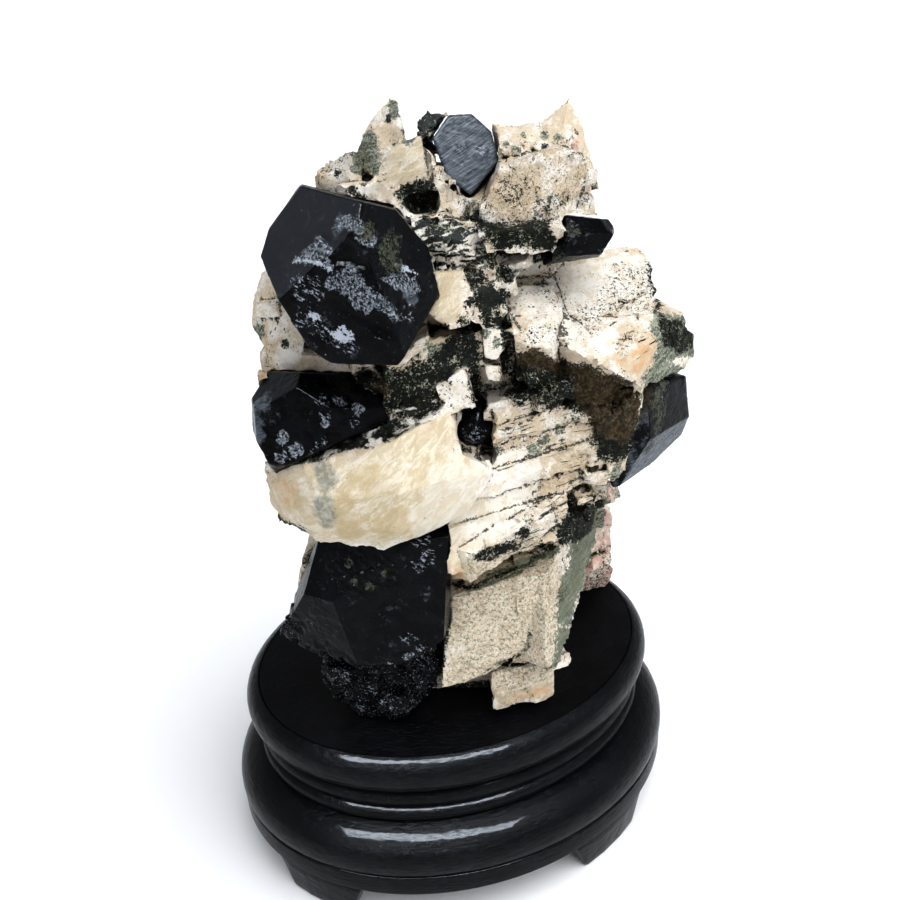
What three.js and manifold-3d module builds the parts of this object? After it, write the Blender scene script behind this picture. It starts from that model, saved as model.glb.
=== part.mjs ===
import * as THREE from 'three';
import { ConvexGeometry } from 'three/addons/geometries/ConvexGeometry.js';
import { mergeVertices } from 'three/addons/utils/BufferGeometryUtils.js';
import Module from 'manifold-3d';

const wasm = await Module();
wasm.setup();

// All sizes are millimetres and all angles are degrees.
const mouldingHalfLength = 50;
const mouldingHalfWidth = 39;
const turningSides = 40;
const plinthFlare = 4.4;
const plinthDrop = 35.7;
const footHeight = 10.2;
const footSpan = 29;
const footTaper = 0.72;
const footAngles = { front_left: -145, front_right: -59, back_right: 35, back_left: 121 };
const recessWidth = 8;
const recessDepth = 3;
const seatHeight = plinthDrop + footHeight;
const specimenTurn = -18;
const clearance = 0.3;

const colours = { feldspar: '#e4d8c2', morion: '#23242a', lacquer: '#0d0d10' };

const radians = THREE.MathUtils.degToRad;

function toSolid(geometry) {
  const bare = geometry.clone();
  bare.deleteAttribute('normal');
  bare.deleteAttribute('uv');
  const welded = mergeVertices(bare, 1e-4);
  const shape = new wasm.Mesh({
    numProp: 3,
    vertProperties: new Float32Array(welded.attributes.position.array),
    triVerts: new Uint32Array(welded.index.array),
  });
  shape.merge();
  return new wasm.Manifold(shape);
}

function toGeometry(solid) {
  const shape = solid.getMesh();
  const geometry = new THREE.BufferGeometry();
  geometry.setAttribute('position', new THREE.BufferAttribute(shape.vertProperties, 3));
  geometry.setIndex(new THREE.BufferAttribute(shape.triVerts, 1));
  geometry.computeVertexNormals();
  return geometry;
}

function joined(solids) {
  return solids.reduce((whole, solid) => whole.add(solid));
}

// The stone is measured from the middle of the seat: x to the right, y to the back, z up.
function lump(...corners) {
  return toSolid(new ConvexGeometry(corners.map((corner) => new THREE.Vector3(...corner))));
}

// A slab has one flat face, traced as [x, z] pairs. The face passes through `at`,
// leans back by `up` and turns to the right by `side`. Its rear outline is the same
// shape made smaller and moved by `back`.
function slab({ at, up = 0, side = 0, outline, back, shrink = 0.92 }) {
  const facing = new THREE.Vector3(
    Math.sin(radians(side)) * Math.cos(radians(up)),
    -Math.cos(radians(side)) * Math.cos(radians(up)),
    Math.sin(radians(up)),
  );
  const face = outline.map(([x, z]) => {
    const y = at[1] - (facing.x * (x - at[0]) + facing.z * (z - at[2])) / facing.y;
    return new THREE.Vector3(x, y, z);
  });
  const middle = new THREE.Vector3();
  face.forEach((point) => middle.addScaledVector(point, 1 / face.length));
  const move = new THREE.Vector3(...back);
  const rear = face.map((point) => point.clone().sub(middle).multiplyScalar(shrink).add(middle).add(move));
  return toSolid(new ConvexGeometry([...face, ...rear]));
}

// Everything beyond a flat face, out to well past the stone.
function beyond({ point, facing }, spread) {
  const reach = 120;
  const way = new THREE.Vector3(...facing).normalize();
  const geometry = new THREE.BoxGeometry(reach, reach, reach);
  geometry.translate(0, 0, reach / 2 + spread);
  geometry.applyQuaternion(new THREE.Quaternion().setFromUnitVectors(new THREE.Vector3(0, 0, 1), way));
  geometry.translate(...point);
  return toSolid(geometry);
}

function cutBlock({ from, to, faces }, spread = 0) {
  const size = from.map((low, axis) => to[axis] - low + 2 * spread);
  const geometry = new THREE.BoxGeometry(...size);
  geometry.translate(...from.map((low, axis) => (low + to[axis]) / 2));
  return faces.reduce((block, face) => block.subtract(beyond(face, spread)), toSolid(geometry));
}

// A six-sided prism with a pointed end, from its root to its tip.
function pointedPrism({ root, tip, radius, turn = 0 }, spread = 0) {
  const start = new THREE.Vector3(...root);
  const axis = new THREE.Vector3(...tip).sub(start);
  const length = axis.length();
  const shoulder = length - 1.1 * radius;
  const corners = [new THREE.Vector3(0, length + spread, 0)];
  for (let side = 0; side < 6; side += 1) {
    const angle = radians(turn + 60 * side);
    const reach = radius + spread * 1.2;
    for (const height of [-spread, shoulder]) {
      corners.push(new THREE.Vector3(reach * Math.cos(angle), height, reach * Math.sin(angle)));
    }
  }
  const geometry = new ConvexGeometry(corners);
  geometry.applyQuaternion(
    new THREE.Quaternion().setFromUnitVectors(new THREE.Vector3(0, 1, 0), axis.normalize()),
  );
  geometry.translate(...root);
  return toSolid(geometry);
}

function ellipsePoint(offset, degrees, z) {
  const angle = radians(degrees);
  const x = (mouldingHalfLength + offset) * Math.cos(angle);
  const y = (mouldingHalfWidth + offset) * Math.sin(angle);
  return new THREE.Vector3(x, y, z);
}

// Half section of the turned stand, as [offset from the upper moulding, height].
function standProfile() {
  const flare = plinthFlare;
  const mouldings = [
    [flare - 0.1, -plinthDrop],
    [flare, -plinthDrop + 0.3],
    [flare, -30.6],
    [flare - 0.7, -30.3],
    [flare - 0.7, -29.9],
    [flare + 0.1, -29.3],
    [flare + 0.3, -27.6],
    [flare, -25.4],
    [flare - 0.9, -23.5],
    [flare - 2.5, -21.8],
    [flare - 4.5, -20.6],
    [-1.6, -20.1],
    [-3.2, -19.8],
    [-3.2, -19.2],
    [-2.2, -18.6],
    [-1.8, -17.4],
    [-2.2, -16.2],
    [-3.4, -15.5],
    [-3.4, -15],
    [-2.5, -14.4],
    [-2.1, -13.1],
    [-2.6, -11.8],
    [-3.8, -11],
    [-3.8, -10.2],
    [-2.4, -9.6],
    [-1, -8.2],
    [-0.2, -6.3],
    [0, -4.4],
    [-0.4, -2.6],
    [-1.3, -1.2],
    [-2.5, -0.3],
    [-3.3, 0],
    [-3.5, -0.45],
    [-3.7, 0],
  ];
  const profile = mouldings.map(([offset, z]) => new THREE.Vector2(mouldingHalfWidth + offset, z));
  const recessEdge = mouldingHalfWidth - recessWidth;
  profile.unshift(new THREE.Vector2(recessEdge, -plinthDrop));
  profile.unshift(new THREE.Vector2(recessEdge - 0.6, -plinthDrop + recessDepth));
  profile.unshift(new THREE.Vector2(0, -plinthDrop + recessDepth));
  profile.push(new THREE.Vector2(0, 0));
  return profile;
}

// The round turning is stretched to an oval of the same mouldings all round.
function standBody() {
  const geometry = new THREE.LatheGeometry(standProfile(), turningSides);
  geometry.rotateX(Math.PI / 2);
  const position = geometry.attributes.position;
  const stretch = mouldingHalfLength - mouldingHalfWidth;
  for (let i = 0; i < position.count; i += 1) {
    const x = position.getX(i);
    const radius = Math.hypot(x, position.getY(i));
    if (radius > 0.001) {
      position.setX(i, x + (stretch * x) / radius);
    }
  }
  return toSolid(geometry);
}

// A bracket foot follows the plinth's edge and is narrower and set in at the floor.
function standFoot(centre) {
  const top = -plinthDrop - clearance;
  const floor = -seatHeight;
  const stations = 6;
  const points = [];
  for (let step = 0; step <= stations; step += 1) {
    const along = (step / stations - 0.5) * footSpan;
    points.push(ellipsePoint(plinthFlare - 0.5, centre + along, top));
    points.push(ellipsePoint(-4, centre + along, top));
    points.push(ellipsePoint(plinthFlare - 1.2, centre + along * footTaper, floor));
    points.push(ellipsePoint(-1, centre + along * footTaper, floor));
  }
  return toSolid(new ConvexGeometry(points));
}

// A crystal is a block between two corners, cut off along its flat faces. Each face is a
// point on it and the way it faces. A room is the same crystal grown by the clearance.
const morions = {
  upperLeft: {
    from: [-30, -40, 90],
    to: [6, -9, 122],
    faces: [
      { point: [-10, -35.2, 104], facing: [-0.22, -1, 0.1] },
      { point: [-4, -35.3, 102], facing: [0.75, -0.59, 0.29] },
      { point: [-22, -31.5, 108], facing: [-0.59, -0.56, 0.59] },
      { point: [-12, -20, 118.8], facing: [0.3, 0.3, 0.92] },
      { point: [1, -24, 111], facing: [0.8, 0.2, 0.57] },
      { point: [-23.7, -25, 117], facing: [-0.74, 0.1, 0.66] },
      { point: [-27, -22, 110], facing: [-0.93, 0.3, 0.2] },
      { point: [-24, -27, 104.5], facing: [-0.88, -0.1, -0.44] },
      { point: [-20, -32, 97], facing: [-0.6, -0.15, -0.76] },
      { point: [-7, -33, 93.4], facing: [-0.06, -0.3, -0.95] },
      { point: [-7, -28, 92.6], facing: [0, 0.4, -0.92] },
      { point: [-1.5, -31, 97.5], facing: [0.76, -0.1, -0.62] },
      { point: [3, -26, 104], facing: [0.88, 0.45, 0.05] },
    ],
  },
  middleLeft: {
    from: [-34, -36, 66],
    to: [-6, -10, 90],
    faces: [
      { point: [-18.5, -33.3, 77], facing: [-0.22, -0.92, 0.3] },
      { point: [-18.5, -33.3, 77], facing: [0.44, -0.86, 0.24] },
      { point: [-31.5, -22, 83.5], facing: [-0.5, -0.15, 0.85] },
      { point: [-17, -27, 84.5], facing: [0.4, -0.25, 0.88] },
      { point: [-24, -22, 86.5], facing: [0.1, 0.45, 0.88] },
      { point: [-33.2, -24, 79], facing: [-0.97, -0.22, 0.1] },
      { point: [-33, -22, 79], facing: [-0.85, 0.5, 0.1] },
      { point: [-32, -27, 74], facing: [-0.9, -0.3, -0.3] },
      { point: [-27, -32.6, 73], facing: [-0.25, -0.75, -0.6] },
      { point: [-12, -29, 77.5], facing: [0.35, -0.45, -0.82] },
      { point: [-22, -26, 70], facing: [0, 0.5, -0.86] },
      { point: [-9, -26, 80], facing: [0.8, 0.55, 0.1] },
    ],
  },
  lowerLeft: {
    from: [-36, -37, 22],
    to: [3, -8, 57],
    faces: [
      { point: [-16, -33.2, 45], facing: [-0.45, -0.73, 0.51] },
      { point: [-10, -34, 34], facing: [-0.08, -1, 0.05] },
      { point: [-22, -32, 30], facing: [-0.5, -0.86, -0.05] },
      { point: [-33.5, -24, 29], facing: [-0.9, -0.12, 0.4] },
      { point: [-33, -23, 30], facing: [-0.76, 0.55, 0.34] },
      { point: [-31, -27, 24.6], facing: [-0.35, -0.3, -0.9] },
      { point: [-14, -31, 23.8], facing: [0.02, -0.25, -0.97] },
      { point: [-3, -32, 28], facing: [0.6, -0.25, -0.75] },
      { point: [0.8, -32, 38], facing: [0.97, -0.22, -0.08] },
      { point: [1, -28, 40], facing: [0.9, 0.42, 0] },
      { point: [-6, -31, 54.4], facing: [-0.1, 0.05, 0.98] },
    ],
  },
  right: {
    from: [35, -28, 56],
    to: [53, -6, 79],
    faces: [
      { point: [47, -18, 72], facing: [0.74, -0.66, 0.1] },
      { point: [47, -18.3, 67], facing: [0.66, -0.66, -0.36] },
      { point: [40, -24.2, 65], facing: [-0.15, -0.98, 0.1] },
      { point: [46, -18, 77.6], facing: [0.14, 0.2, 0.96] },
      { point: [51.4, -12, 68], facing: [0.85, 0.5, 0.1] },
      { point: [43, -19, 58.6], facing: [0.22, -0.25, -0.94] },
      { point: [43, -16, 58], facing: [0.1, 0.4, -0.9] },
      { point: [35.6, -22, 59], facing: [-0.85, 0.3, -0.4] },
    ],
  },
  topRight: {
    from: [20, -26, 102],
    to: [37, -7, 115],
    faces: [
      { point: [28, -19.5, 110.4], facing: [0.16, -0.45, 0.88] },
      { point: [28, -15, 111], facing: [0.16, 0.3, 0.94] },
      { point: [33.2, -18, 110.2], facing: [0.6, -0.2, 0.77] },
      { point: [26.5, -20, 110], facing: [-0.85, -0.25, 0.45] },
      { point: [29, -21, 108.5], facing: [0.3, -0.9, -0.1] },
      { point: [28, -20.5, 105.7], facing: [0.1, -0.55, -0.83] },
      { point: [28, -16, 104.6], facing: [0, 0.4, -0.9] },
      { point: [34.9, -17, 109.5], facing: [0.93, -0.2, 0.27] },
      { point: [34.5, -15, 109.5], facing: [0.8, 0.6, 0] },
      { point: [33.6, -19, 106.8], facing: [0.8, -0.3, -0.52] },
    ],
  },
};

// Broad inner body that the cleavage blocks grow from. It shows only in the dark gaps.
function bodyOfTheRock() {
  return [
    lump(
      [-22, -10, 0.3], [-10, -16, 0.3], [18, -18, 0.3], [23, -5, 0.3], [32, 14, 0.3], [30, 20, 0.3],
      [6, 23, 0.3], [-16, 16, 0.3], [-24, 2, 0.3], [-24, -16, 44], [4, -20, 44], [26, -16, 44],
      [36, -2, 44], [34, 18, 44], [4, 25, 44], [-26, 16, 44], [-30, -2, 44],
    ),
    lump(
      [-24, -16, 40], [4, -20, 40], [26, -17, 40], [35, -4, 40], [34, 16, 40], [0, 25, 40],
      [-27, 14, 40], [-28, -18, 66], [4, -21, 66], [30, -17, 66], [40, -2, 70], [34, 16, 74],
      [0, 22, 74], [-29, 8, 74],
    ),
    lump(
      [-27, -14, 64], [6, -19, 70], [30, -15, 70], [40, -2, 72], [32, 16, 72], [0, 22, 72],
      [-28, 10, 70], [-25, -9, 96], [2, -15, 104], [24, -11, 104], [34, -2, 94], [24, 12, 100],
      [-4, 14, 104], [-20, 4, 100],
    ),
    lump(
      [-15, -9, 100], [2, -14, 100], [26, -11, 100], [28, 4, 98], [4, 12, 98], [-14, 6, 98],
      [-10, -7, 114], [2, -11, 115], [24, -10, 116], [26, -2, 118], [8, 4, 118], [-6, 2, 116],
    ),
  ];
}

// Curved smooth block that stands furthest forward, with its ledge and the orange lump.
function smoothBlock() {
  return [
    lump(
      [-24, -33, 73.5], [-16, -36, 74], [-6, -34, 78], [3, -29, 81], [7, -31, 72], [12, -31, 67],
      [6, -34, 61], [0, -35, 58], [-10, -36, 54.5], [-23, -34, 56], [-29, -31, 59], [-32, -28, 66],
      [-21, -38, 68], [-6, -40, 70], [3, -36, 70], [-24, -36, 62], [-8, -39.5, 61],
      [-28, -27, 73], [-19, -26, 75.5], [-8, -24, 77.5], [4, -22, 80],
      [-24, -14, 70], [8, -16, 72], [8, -18, 58], [-22, -16, 58],
    ),
    lump(
      [-32.5, -27, 71], [-25, -32, 74], [-21, -34, 69], [-25, -33, 58], [-31, -28, 57], [-33, -26, 62],
      [-26, -12, 70], [-26, -12, 60],
    ),
  ];
}

// Stack of parallel cleavage bands that rise a little to the right.
function steppedBlock() {
  const bands = [
    { left: 1, right: 27, bottom: 47, height: 9.5, forward: 1.5 },
    { left: 2, right: 33.5, bottom: 55.5, height: 6, forward: 0.4 },
    { left: 8, right: 33.5, bottom: 60.5, height: 5.5, forward: 1.3 },
    { left: 11, right: 32, bottom: 65.5, height: 5, forward: 0.3 },
    { left: 11, right: 30, bottom: 70, height: 4.5, forward: 1.2 },
    { left: 9.5, right: 25, bottom: 74, height: 4.5, forward: 0.4 },
  ];
  const rise = 0.13;
  return bands.map(({ left, right, bottom, height, forward }) => {
    const lift = rise * (right - left);
    return slab({
      at: [18, -27.5 - forward, 60],
      up: 15,
      side: 10,
      outline: [
        [left, bottom],
        [right, bottom + lift],
        [right - 1, bottom + height + lift],
        [left + 1, bottom + height],
      ],
      back: [0, 20, -2],
    });
  });
}

// Tilted bar under the stepped block, with its blunt peach end.
function tiltedBar() {
  return lump(
    [6, -36, 45.5], [7, -36.5, 52.5], [24, -32, 60], [24.5, -31, 54], [0, -31, 52], [2, -32, 43],
    [22, -18, 58], [4, -18, 54], [4, -18, 43], [22, -18, 50],
  );
}

// Large block at the right with the pale tops and the shaded hollow below them.
function rightBlock() {
  return [
    lump(
      [24, -12, 98.5], [26, -6, 101], [43, -2, 100], [45, -6, 97.5], [45, -14, 93], [40, -22, 88],
      [31, -28, 87], [24, -24, 92], [36, -20, 68], [27, -20, 74], [20, 0, 80], [42, 2, 78],
    ),
    lump(
      [16, -16, 98.5], [24, -14, 98.5], [26, -20, 96], [23, -28, 91], [16, -26, 92], [17, -22, 82],
      [25, -22, 76], [18, -4, 90], [26, -4, 90],
    ),
    lump(
      [27, -20, 94], [44, -18, 92.5], [45, -21, 89], [39, -27, 82], [32, -30, 87.5], [25, -27, 91],
      [38, -8, 88], [30, -8, 86], [36, -16, 76],
    ),
    lump(
      [40, -20, 93], [51, -10, 89], [54, -8, 82], [54, -9, 78], [51, -11, 76], [44, -20, 78],
      [43, -21, 88], [36, 4, 92], [47, 4, 84], [45, 4, 74], [34, 0, 70],
    ),
    lump(
      [43, -21, 86], [44, -20, 77], [43, -22, 66], [35, -26, 60], [32, -25, 70], [40, -24, 79],
      [30, -4, 88], [44, -3, 76], [41, -4, 64], [28, -6, 56],
    ),
  ];
}

// Tilted face at the right, grey green, and the pink block behind it.
function rightFlank() {
  return [
    slab({
      at: [32, -14, 25],
      up: 10,
      side: 55,
      outline: [[21, 36], [33, 47], [37, 46], [35, 33], [28.5, 21], [24, 15], [21, 17]],
      back: [-14, 10, 0],
    }),
    lump(
      [34, 6, 34], [41, 11, 32], [42, 14, 16], [43.5, 18, 1], [41, 17, 0.3], [32, 10, 4],
      [30, 22, 32], [36, 24, 0.3], [24, 16, 0.3], [26, 12, 38],
    ),
  ];
}

// Granular block low at the front with its broken right edge, and the small one under it.
function lowerBlocks() {
  const blocks = [
    slab({
      at: [10, -28, 25],
      up: 5,
      side: 8,
      outline: [[1, 36], [17, 39], [20, 31], [18, 20], [7, 14], [-2, 13]],
      back: [0, 18, -1],
    }),
    slab({
      at: [15, -26, 5],
      up: 5,
      side: 8,
      outline: [[9, 13], [23.5, 14], [23.5, 3], [20, 2.5], [9, 2]],
      back: [0, 16, 0],
    }),
    slab({
      at: [15, -26.6, 15],
      up: 5,
      side: 8,
      outline: [[12, 14.5], [24, 16], [24, 19.5], [16, 18.5]],
      back: [0, 16, 0],
    }),
  ];
  for (let step = 0; step < 4; step += 1) {
    const bottom = 20 + step * 4.7;
    blocks.push(slab({
      at: [20, -26.6 + (step % 2), bottom],
      up: 5,
      side: 12,
      outline: [[15, bottom], [23.5 - (step % 2), bottom + 0.6], [22.8, bottom + 4.4], [15, bottom + 4.6]],
      back: [0, 14, 0],
    }));
  }
  return blocks;
}

// Dark layered block in the middle and the small pale blocks around it.
function middleBlocks() {
  return [
    slab({
      at: [0, -26, 84],
      up: 15,
      side: 5,
      outline: [[-8, 88.5], [3, 93], [12, 93], [10, 86], [0, 79], [-9, 79]],
      back: [0, 15, -3],
    }),
    slab({
      at: [-2, -27.5, 88],
      up: 20,
      side: 5,
      outline: [[-8, 90], [1, 94.5], [1, 92], [-6, 88]],
      back: [0, 14, -3],
    }),
    slab({
      at: [13, -26.5, 88],
      up: 12,
      outline: [[10.5, 94.5], [14.5, 94.5], [15, 90.5], [13, 88.5], [10.5, 89]],
      back: [0, 14, -1],
    }),
    slab({
      at: [13, -27, 84],
      up: 12,
      outline: [[10.5, 87.8], [14, 87.6], [14.3, 84], [10.8, 83.8]],
      back: [0, 14, -1],
    }),
    slab({
      at: [4, -29, 80],
      up: 18,
      side: -5,
      outline: [[1, 84.5], [7, 88], [9.5, 80], [3, 79.5]],
      back: [0, 15, -3],
    }),
    slab({
      at: [4, -26.5, 98],
      up: 15,
      side: 8,
      outline: [[1.5, 106], [8, 105.5], [10, 100], [8.5, 96], [4, 95.5], [0.5, 99]],
      back: [0, 15, -2],
    }),
    slab({
      at: [12, -22, 100],
      up: 15,
      outline: [[9, 104], [15, 103], [16, 96], [12, 93], [8, 96]],
      back: [0, 12, 0],
    }),
    slab({
      at: [-19, -22, 84],
      up: 15,
      side: -10,
      outline: [[-24, 89], [-12, 91], [-12, 82], [-18, 80], [-23, 83]],
      back: [2, 16, 0],
    }),
  ];
}

// Pale granular blocks along the left edge, between the two morions.
function leftBlocks() {
  return [
    lump(
      [-34, -8, 90], [-33.5, -6, 96], [-30, -6, 102], [-23, -12, 103], [-22, -18, 92], [-23, -19, 89],
      [-31, -14, 88], [-26, 6, 98], [-28, 6, 88], [-18, 2, 100],
    ),
    lump(
      [-33.5, -12, 87], [-25, -18, 90], [-22, -20, 88], [-24, -19, 82], [-31, -16, 80], [-33, -13, 83],
      [-26, 2, 88], [-28, 2, 80], [-18, -8, 80],
    ),
    lump(
      [-31, -22, 36], [-29, -22, 43], [-25, -23, 46], [-24, -24, 41], [-30, -23.5, 34],
      [-26, -3, 46], [-27, -3, 37], [-20, -2, 42],
    ),
  ];
}

// Thin cleavage plates that step down to the right under the top blocks.
function platesUnderTheTop() {
  const plates = [];
  for (let step = 0; step < 4; step += 1) {
    const drop = step * 1.9;
    plates.push(slab({
      at: [6, -18 - step * 0.9, 112 - drop],
      up: 30,
      side: 4,
      outline: [
        [-2 + step, 114 - drop],
        [6 + step * 2, 113.3 - drop],
        [14, 111.5 - drop],
        [14, 110.3 - drop],
        [-1 + step, 112 - drop],
      ],
      back: [0, 12, -3],
    }));
  }
  return plates;
}

// Blocks and spikes that make the jagged top.
function topBlocks() {
  return [
    lump(
      [-4, -4, 132.5], [-2, -5, 131.5], [-1, -8, 128], [-1, -10, 123], [-7, -10, 119], [-11, -6, 120],
      [-10, -5, 124.5], [-7, -5, 129], [-10, 2, 112], [0, 2, 112], [-4, 1, 122],
    ),
    slab({
      at: [-2, -13, 118],
      up: 12,
      side: 5,
      outline: [[-2.5, 126], [2.5, 126.5], [2.8, 118], [-3.5, 116], [-8, 119.5]],
      back: [0, 9, -3],
    }),
    slab({
      at: [-2, -16, 113],
      up: 25,
      side: 0,
      outline: [[-9, 118], [-3, 117.5], [3, 118], [4, 111], [-2, 112]],
      back: [0, 10, -3],
    }),
    slab({
      at: [-15, -8, 114],
      up: 10,
      side: -20,
      outline: [[-19, 118], [-16, 121.5], [-12, 123.5], [-9.5, 123.5], [-9.5, 112], [-18, 112]],
      back: [3, 10, -4],
    }),
    lump(
      [1, -3, 127.5], [3, -2, 128.7], [7, -2, 128.6], [8, -4, 125], [1, -7, 124], [0, 4, 118], [8, 4, 118],
    ),
    slab({
      at: [5, -15, 112],
      up: 15,
      outline: [[3, 124], [10, 116], [10, 111], [3, 111.5]],
      back: [0, 10, -2],
    }),
    slab({
      at: [17, -22, 110],
      up: -8,
      side: 6,
      outline: [[10, 112], [25.5, 111.6], [27.5, 110], [24, 106], [12, 107.5]],
      back: [0, 12, 1],
    }),
    slab({
      at: [22, -18, 112],
      up: 12,
      side: 5,
      outline: [
        [11, 114.5], [15, 122], [26, 124], [30.5, 122.5],
        [31.2, 118], [33.2, 111.2], [25, 110.8], [11, 111.5],
      ],
      back: [0, 14, -2],
    }),
    lump(
      [14, -6, 121], [14.5, -5, 126.3], [24.5, -5, 126], [26, -10, 123], [16, -12, 122],
      [15, 5, 118], [26, 5, 118],
    ),
    lump(
      [23, -6, 126], [29, -3, 130], [30.8, -3, 127], [32, -6, 120], [34.5, -9, 113], [26, -12, 121],
      [27, 4, 116], [32, 2, 112], [24, 2, 112],
    ),
  ];
}

// The far side, with three large cleavage faces and a ledge.
function backBlocks() {
  return [
    slab({
      at: [-4, 25, 40],
      up: 8,
      side: 172,
      outline: [[-25, 8], [16, 4], [20, 40], [4, 52], [-24, 46]],
      back: [0, -20, 0],
    }),
    slab({
      at: [16, 25, 60],
      up: 14,
      side: 165,
      outline: [[2, 44], [34, 36], [38, 70], [24, 84], [2, 78]],
      back: [0, -20, -2],
    }),
    slab({
      at: [-12, 19, 84],
      up: 18,
      side: 196,
      outline: [[-28, 64], [2, 60], [6, 92], [-6, 106], [-24, 98]],
      back: [0, -20, -2],
    }),
    slab({
      at: [14, 12, 104],
      up: 25,
      side: 175,
      outline: [[-2, 92], [30, 88], [27, 112], [12, 118], [-2, 112]],
      back: [0, -16, -4],
    }),
  ];
}

// Small cleavage fragments that fill the gaps and break up the larger faces.
function fragments() {
  const places = [
    [12, -19, 104, 5], [15, -20, 100, 5], [11, -20, 96, 5], [16, -20, 95, 4], [18, -18, 104, 5],
    [9, -20, 91, 5], [14, -22, 92, 4], [-2, -19, 110, 5], [4, -19, 108, 5], [8, -19, 107, 5],
    [-6, -17, 114, 5], [-10, -12, 116.5, 8], [-6, -25, 80, 5], [-10, -22, 84, 6], [-12, -21, 88, 5],
    [20, -23, 84, 6], [27, -22, 80, 6], [32, -21, 74, 6], [36, -20, 70, 6], [22, -22, 78, 6],
    [31, -23, 84, 5], [31, -23, 66, 5], [31, -24, 61, 5], [29, -25, 57, 5], [29, -20, 60, 6],
    [30, -17, 73, 8], [32, -13, 51, 7], [33, -9, 45, 6], [29, -18, 49, 6], [23.5, -21, 30, 5],
    [24, -20, 24, 5], [24, -19, 10, 6], [-1, -23, 22, 6], [0, -21, 14, 6], [38, 10, 27, 6],
    [38, 12, 13, 6], [-29, -10, 95, 6], [-29, -12, 85, 6], [-30, -18, 84, 5], [-25, -11, 75, 6],
    [-5, -6, 122, 5], [-9, -3, 118, 6], [-15, -5, 118, 6], [11, -13, 114, 5], [18, -9, 122, 5],
    [28, -6, 120, 6], [31, -8, 116, 5], [-21, 13, 42, 10], [10, 23, 50, 10], [24, 20, 66, 10],
    [-12, 17, 76, 10], [4, 17, 88, 9], [20, 12, 101, 8], [0, 10, 106, 8], [30, 17, 44, 10],
    [-25, 9, 60, 9], [-19, 12, 20, 10], [20, 22, 24, 10], [-28, 3, 76, 8], [36, 8, 60, 9],
    [37, 4, 38, 8], [-27, -2, 20, 8], [-29, -4, 52, 8], [12, -1, 116, 8], [-2, 0, 120, 6],
  ];
  return places.map(([x, y, z, size], index) => {
    const geometry = new THREE.BoxGeometry(size, size * 0.9, size * 0.6);
    geometry.rotateX(radians(-20 + 9 * (index % 5)));
    geometry.rotateY(radians(-14 + 6 * (index % 4)));
    geometry.rotateZ(radians(-24 + 16 * (index % 4)));
    geometry.translate(x, y, z);
    return toSolid(geometry);
  });
}

// Pits and cracks cut into the joined rock, with the hollow that holds a small crystal.
function openings() {
  return [
    lump(
      [4.5, -40, 83], [12.5, -40, 83], [10.5, -40, 73], [5.5, -40, 76],
      [5, -23.8, 76.5], [12, -23.8, 76.5], [10, -23.8, 66.5], [6, -23.8, 69],
    ),
    lump(
      [-2, -20, 117.5], [5, -20, 118], [4.5, -20, 114], [-1, -20, 114.5],
      [-0.5, -10, 115.5], [3.5, -10, 116], [3, -10, 113], [0, -10, 113],
    ),
    lump(
      [2.3, -20, 128], [3.3, -20, 128], [3.6, -20, 112], [2.6, -20, 112], [2.8, -9, 127], [3.1, -10, 112],
    ),
  ];
}

const topPlate = {
  at: [10, -9.5, 122],
  up: 30,
  side: 12,
  outline: [[4, 125], [7, 128.2], [11, 128], [14.3, 125], [15.4, 120.5], [10, 115.8], [6, 119]],
  back: [0, 11, -4],
};
const hollowPoint = { root: [8.5, -14, 72], tip: [8, -26.5, 72.5], radius: 4, turn: 20 };
const backLowPoint = { root: [-4, 8, 22], tip: [0, 36, 27], radius: 10, turn: 10 };
const backHighPoint = { root: [20, 4, 84], tip: [24, 30, 80], radius: 9.5, turn: 25 };

// The room for a plate is moved forward a little and spread about its middle.
function grownPlate(plate, spread) {
  const middle = [10, 122];
  return {
    ...plate,
    at: [plate.at[0], plate.at[1] - spread * 1.3, plate.at[2] + spread],
    outline: plate.outline.map((corner) => corner.map((value, axis) => (
      value + spread * 1.5 * Math.sign(value - middle[axis])
    ))),
    back: [plate.back[0], plate.back[1] + 3 * spread, plate.back[2]],
    shrink: 0.95,
  };
}

function feldsparMatrix() {
  const rock = joined([
    ...bodyOfTheRock(),
    ...smoothBlock(),
    ...steppedBlock(),
    tiltedBar(),
    ...rightBlock(),
    ...rightFlank(),
    ...lowerBlocks(),
    ...middleBlocks(),
    ...leftBlocks(),
    ...platesUnderTheTop(),
    ...topBlocks(),
    ...backBlocks(),
    ...fragments(),
  ]);
  const cuts = [
    ...openings(),
    ...Object.values(morions).map((shape) => cutBlock(shape, clearance)),
    ...[hollowPoint, backLowPoint, backHighPoint].map((shape) => pointedPrism(shape, clearance)),
    slab(grownPlate(topPlate, clearance)),
    roughFoot(clearance),
  ];
  return cuts.reduce((whole, cut) => whole.subtract(cut), rock);
}

// The rough crystalline foot under the lower left morion.
function roughFoot(spread = 0) {
  const corners = [
    [-26, -26, 24], [-2, -28, 26], [-3, -27, 11], [-11, -26, 1], [-20, -25, 1.5], [-26, -24, 7],
    [-28, -22, 11], [-24, -8, 22], [-4, -10, 22], [-6, -8, 1], [-20, -6, 1],
  ];
  const middle = [-15, -17, 13];
  return lump(...corners.map((corner) => corner.map((value, axis) => (
    value + spread * 1.7 * Math.sign(value - middle[axis])
  ))));
}

function lowerLeftMorion() {
  const knobs = [
    [-22, -26, 15, 5], [-12, -27, 7, 5], [-6, -27, 17, 5], [-17, -27, 21, 5], [-24, -22, 8, 4],
    [-8, -26, 24, 4],
  ];
  const crust = knobs.map(([x, y, z, radius], index) => {
    const geometry = new THREE.IcosahedronGeometry(radius, 0);
    geometry.rotateZ(radians(40 * index));
    geometry.scale(1, 0.6, 0.8);
    geometry.translate(x, y, z);
    return toSolid(geometry);
  });
  return joined([cutBlock(morions.lowerLeft), roughFoot(), ...crust]);
}

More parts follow.
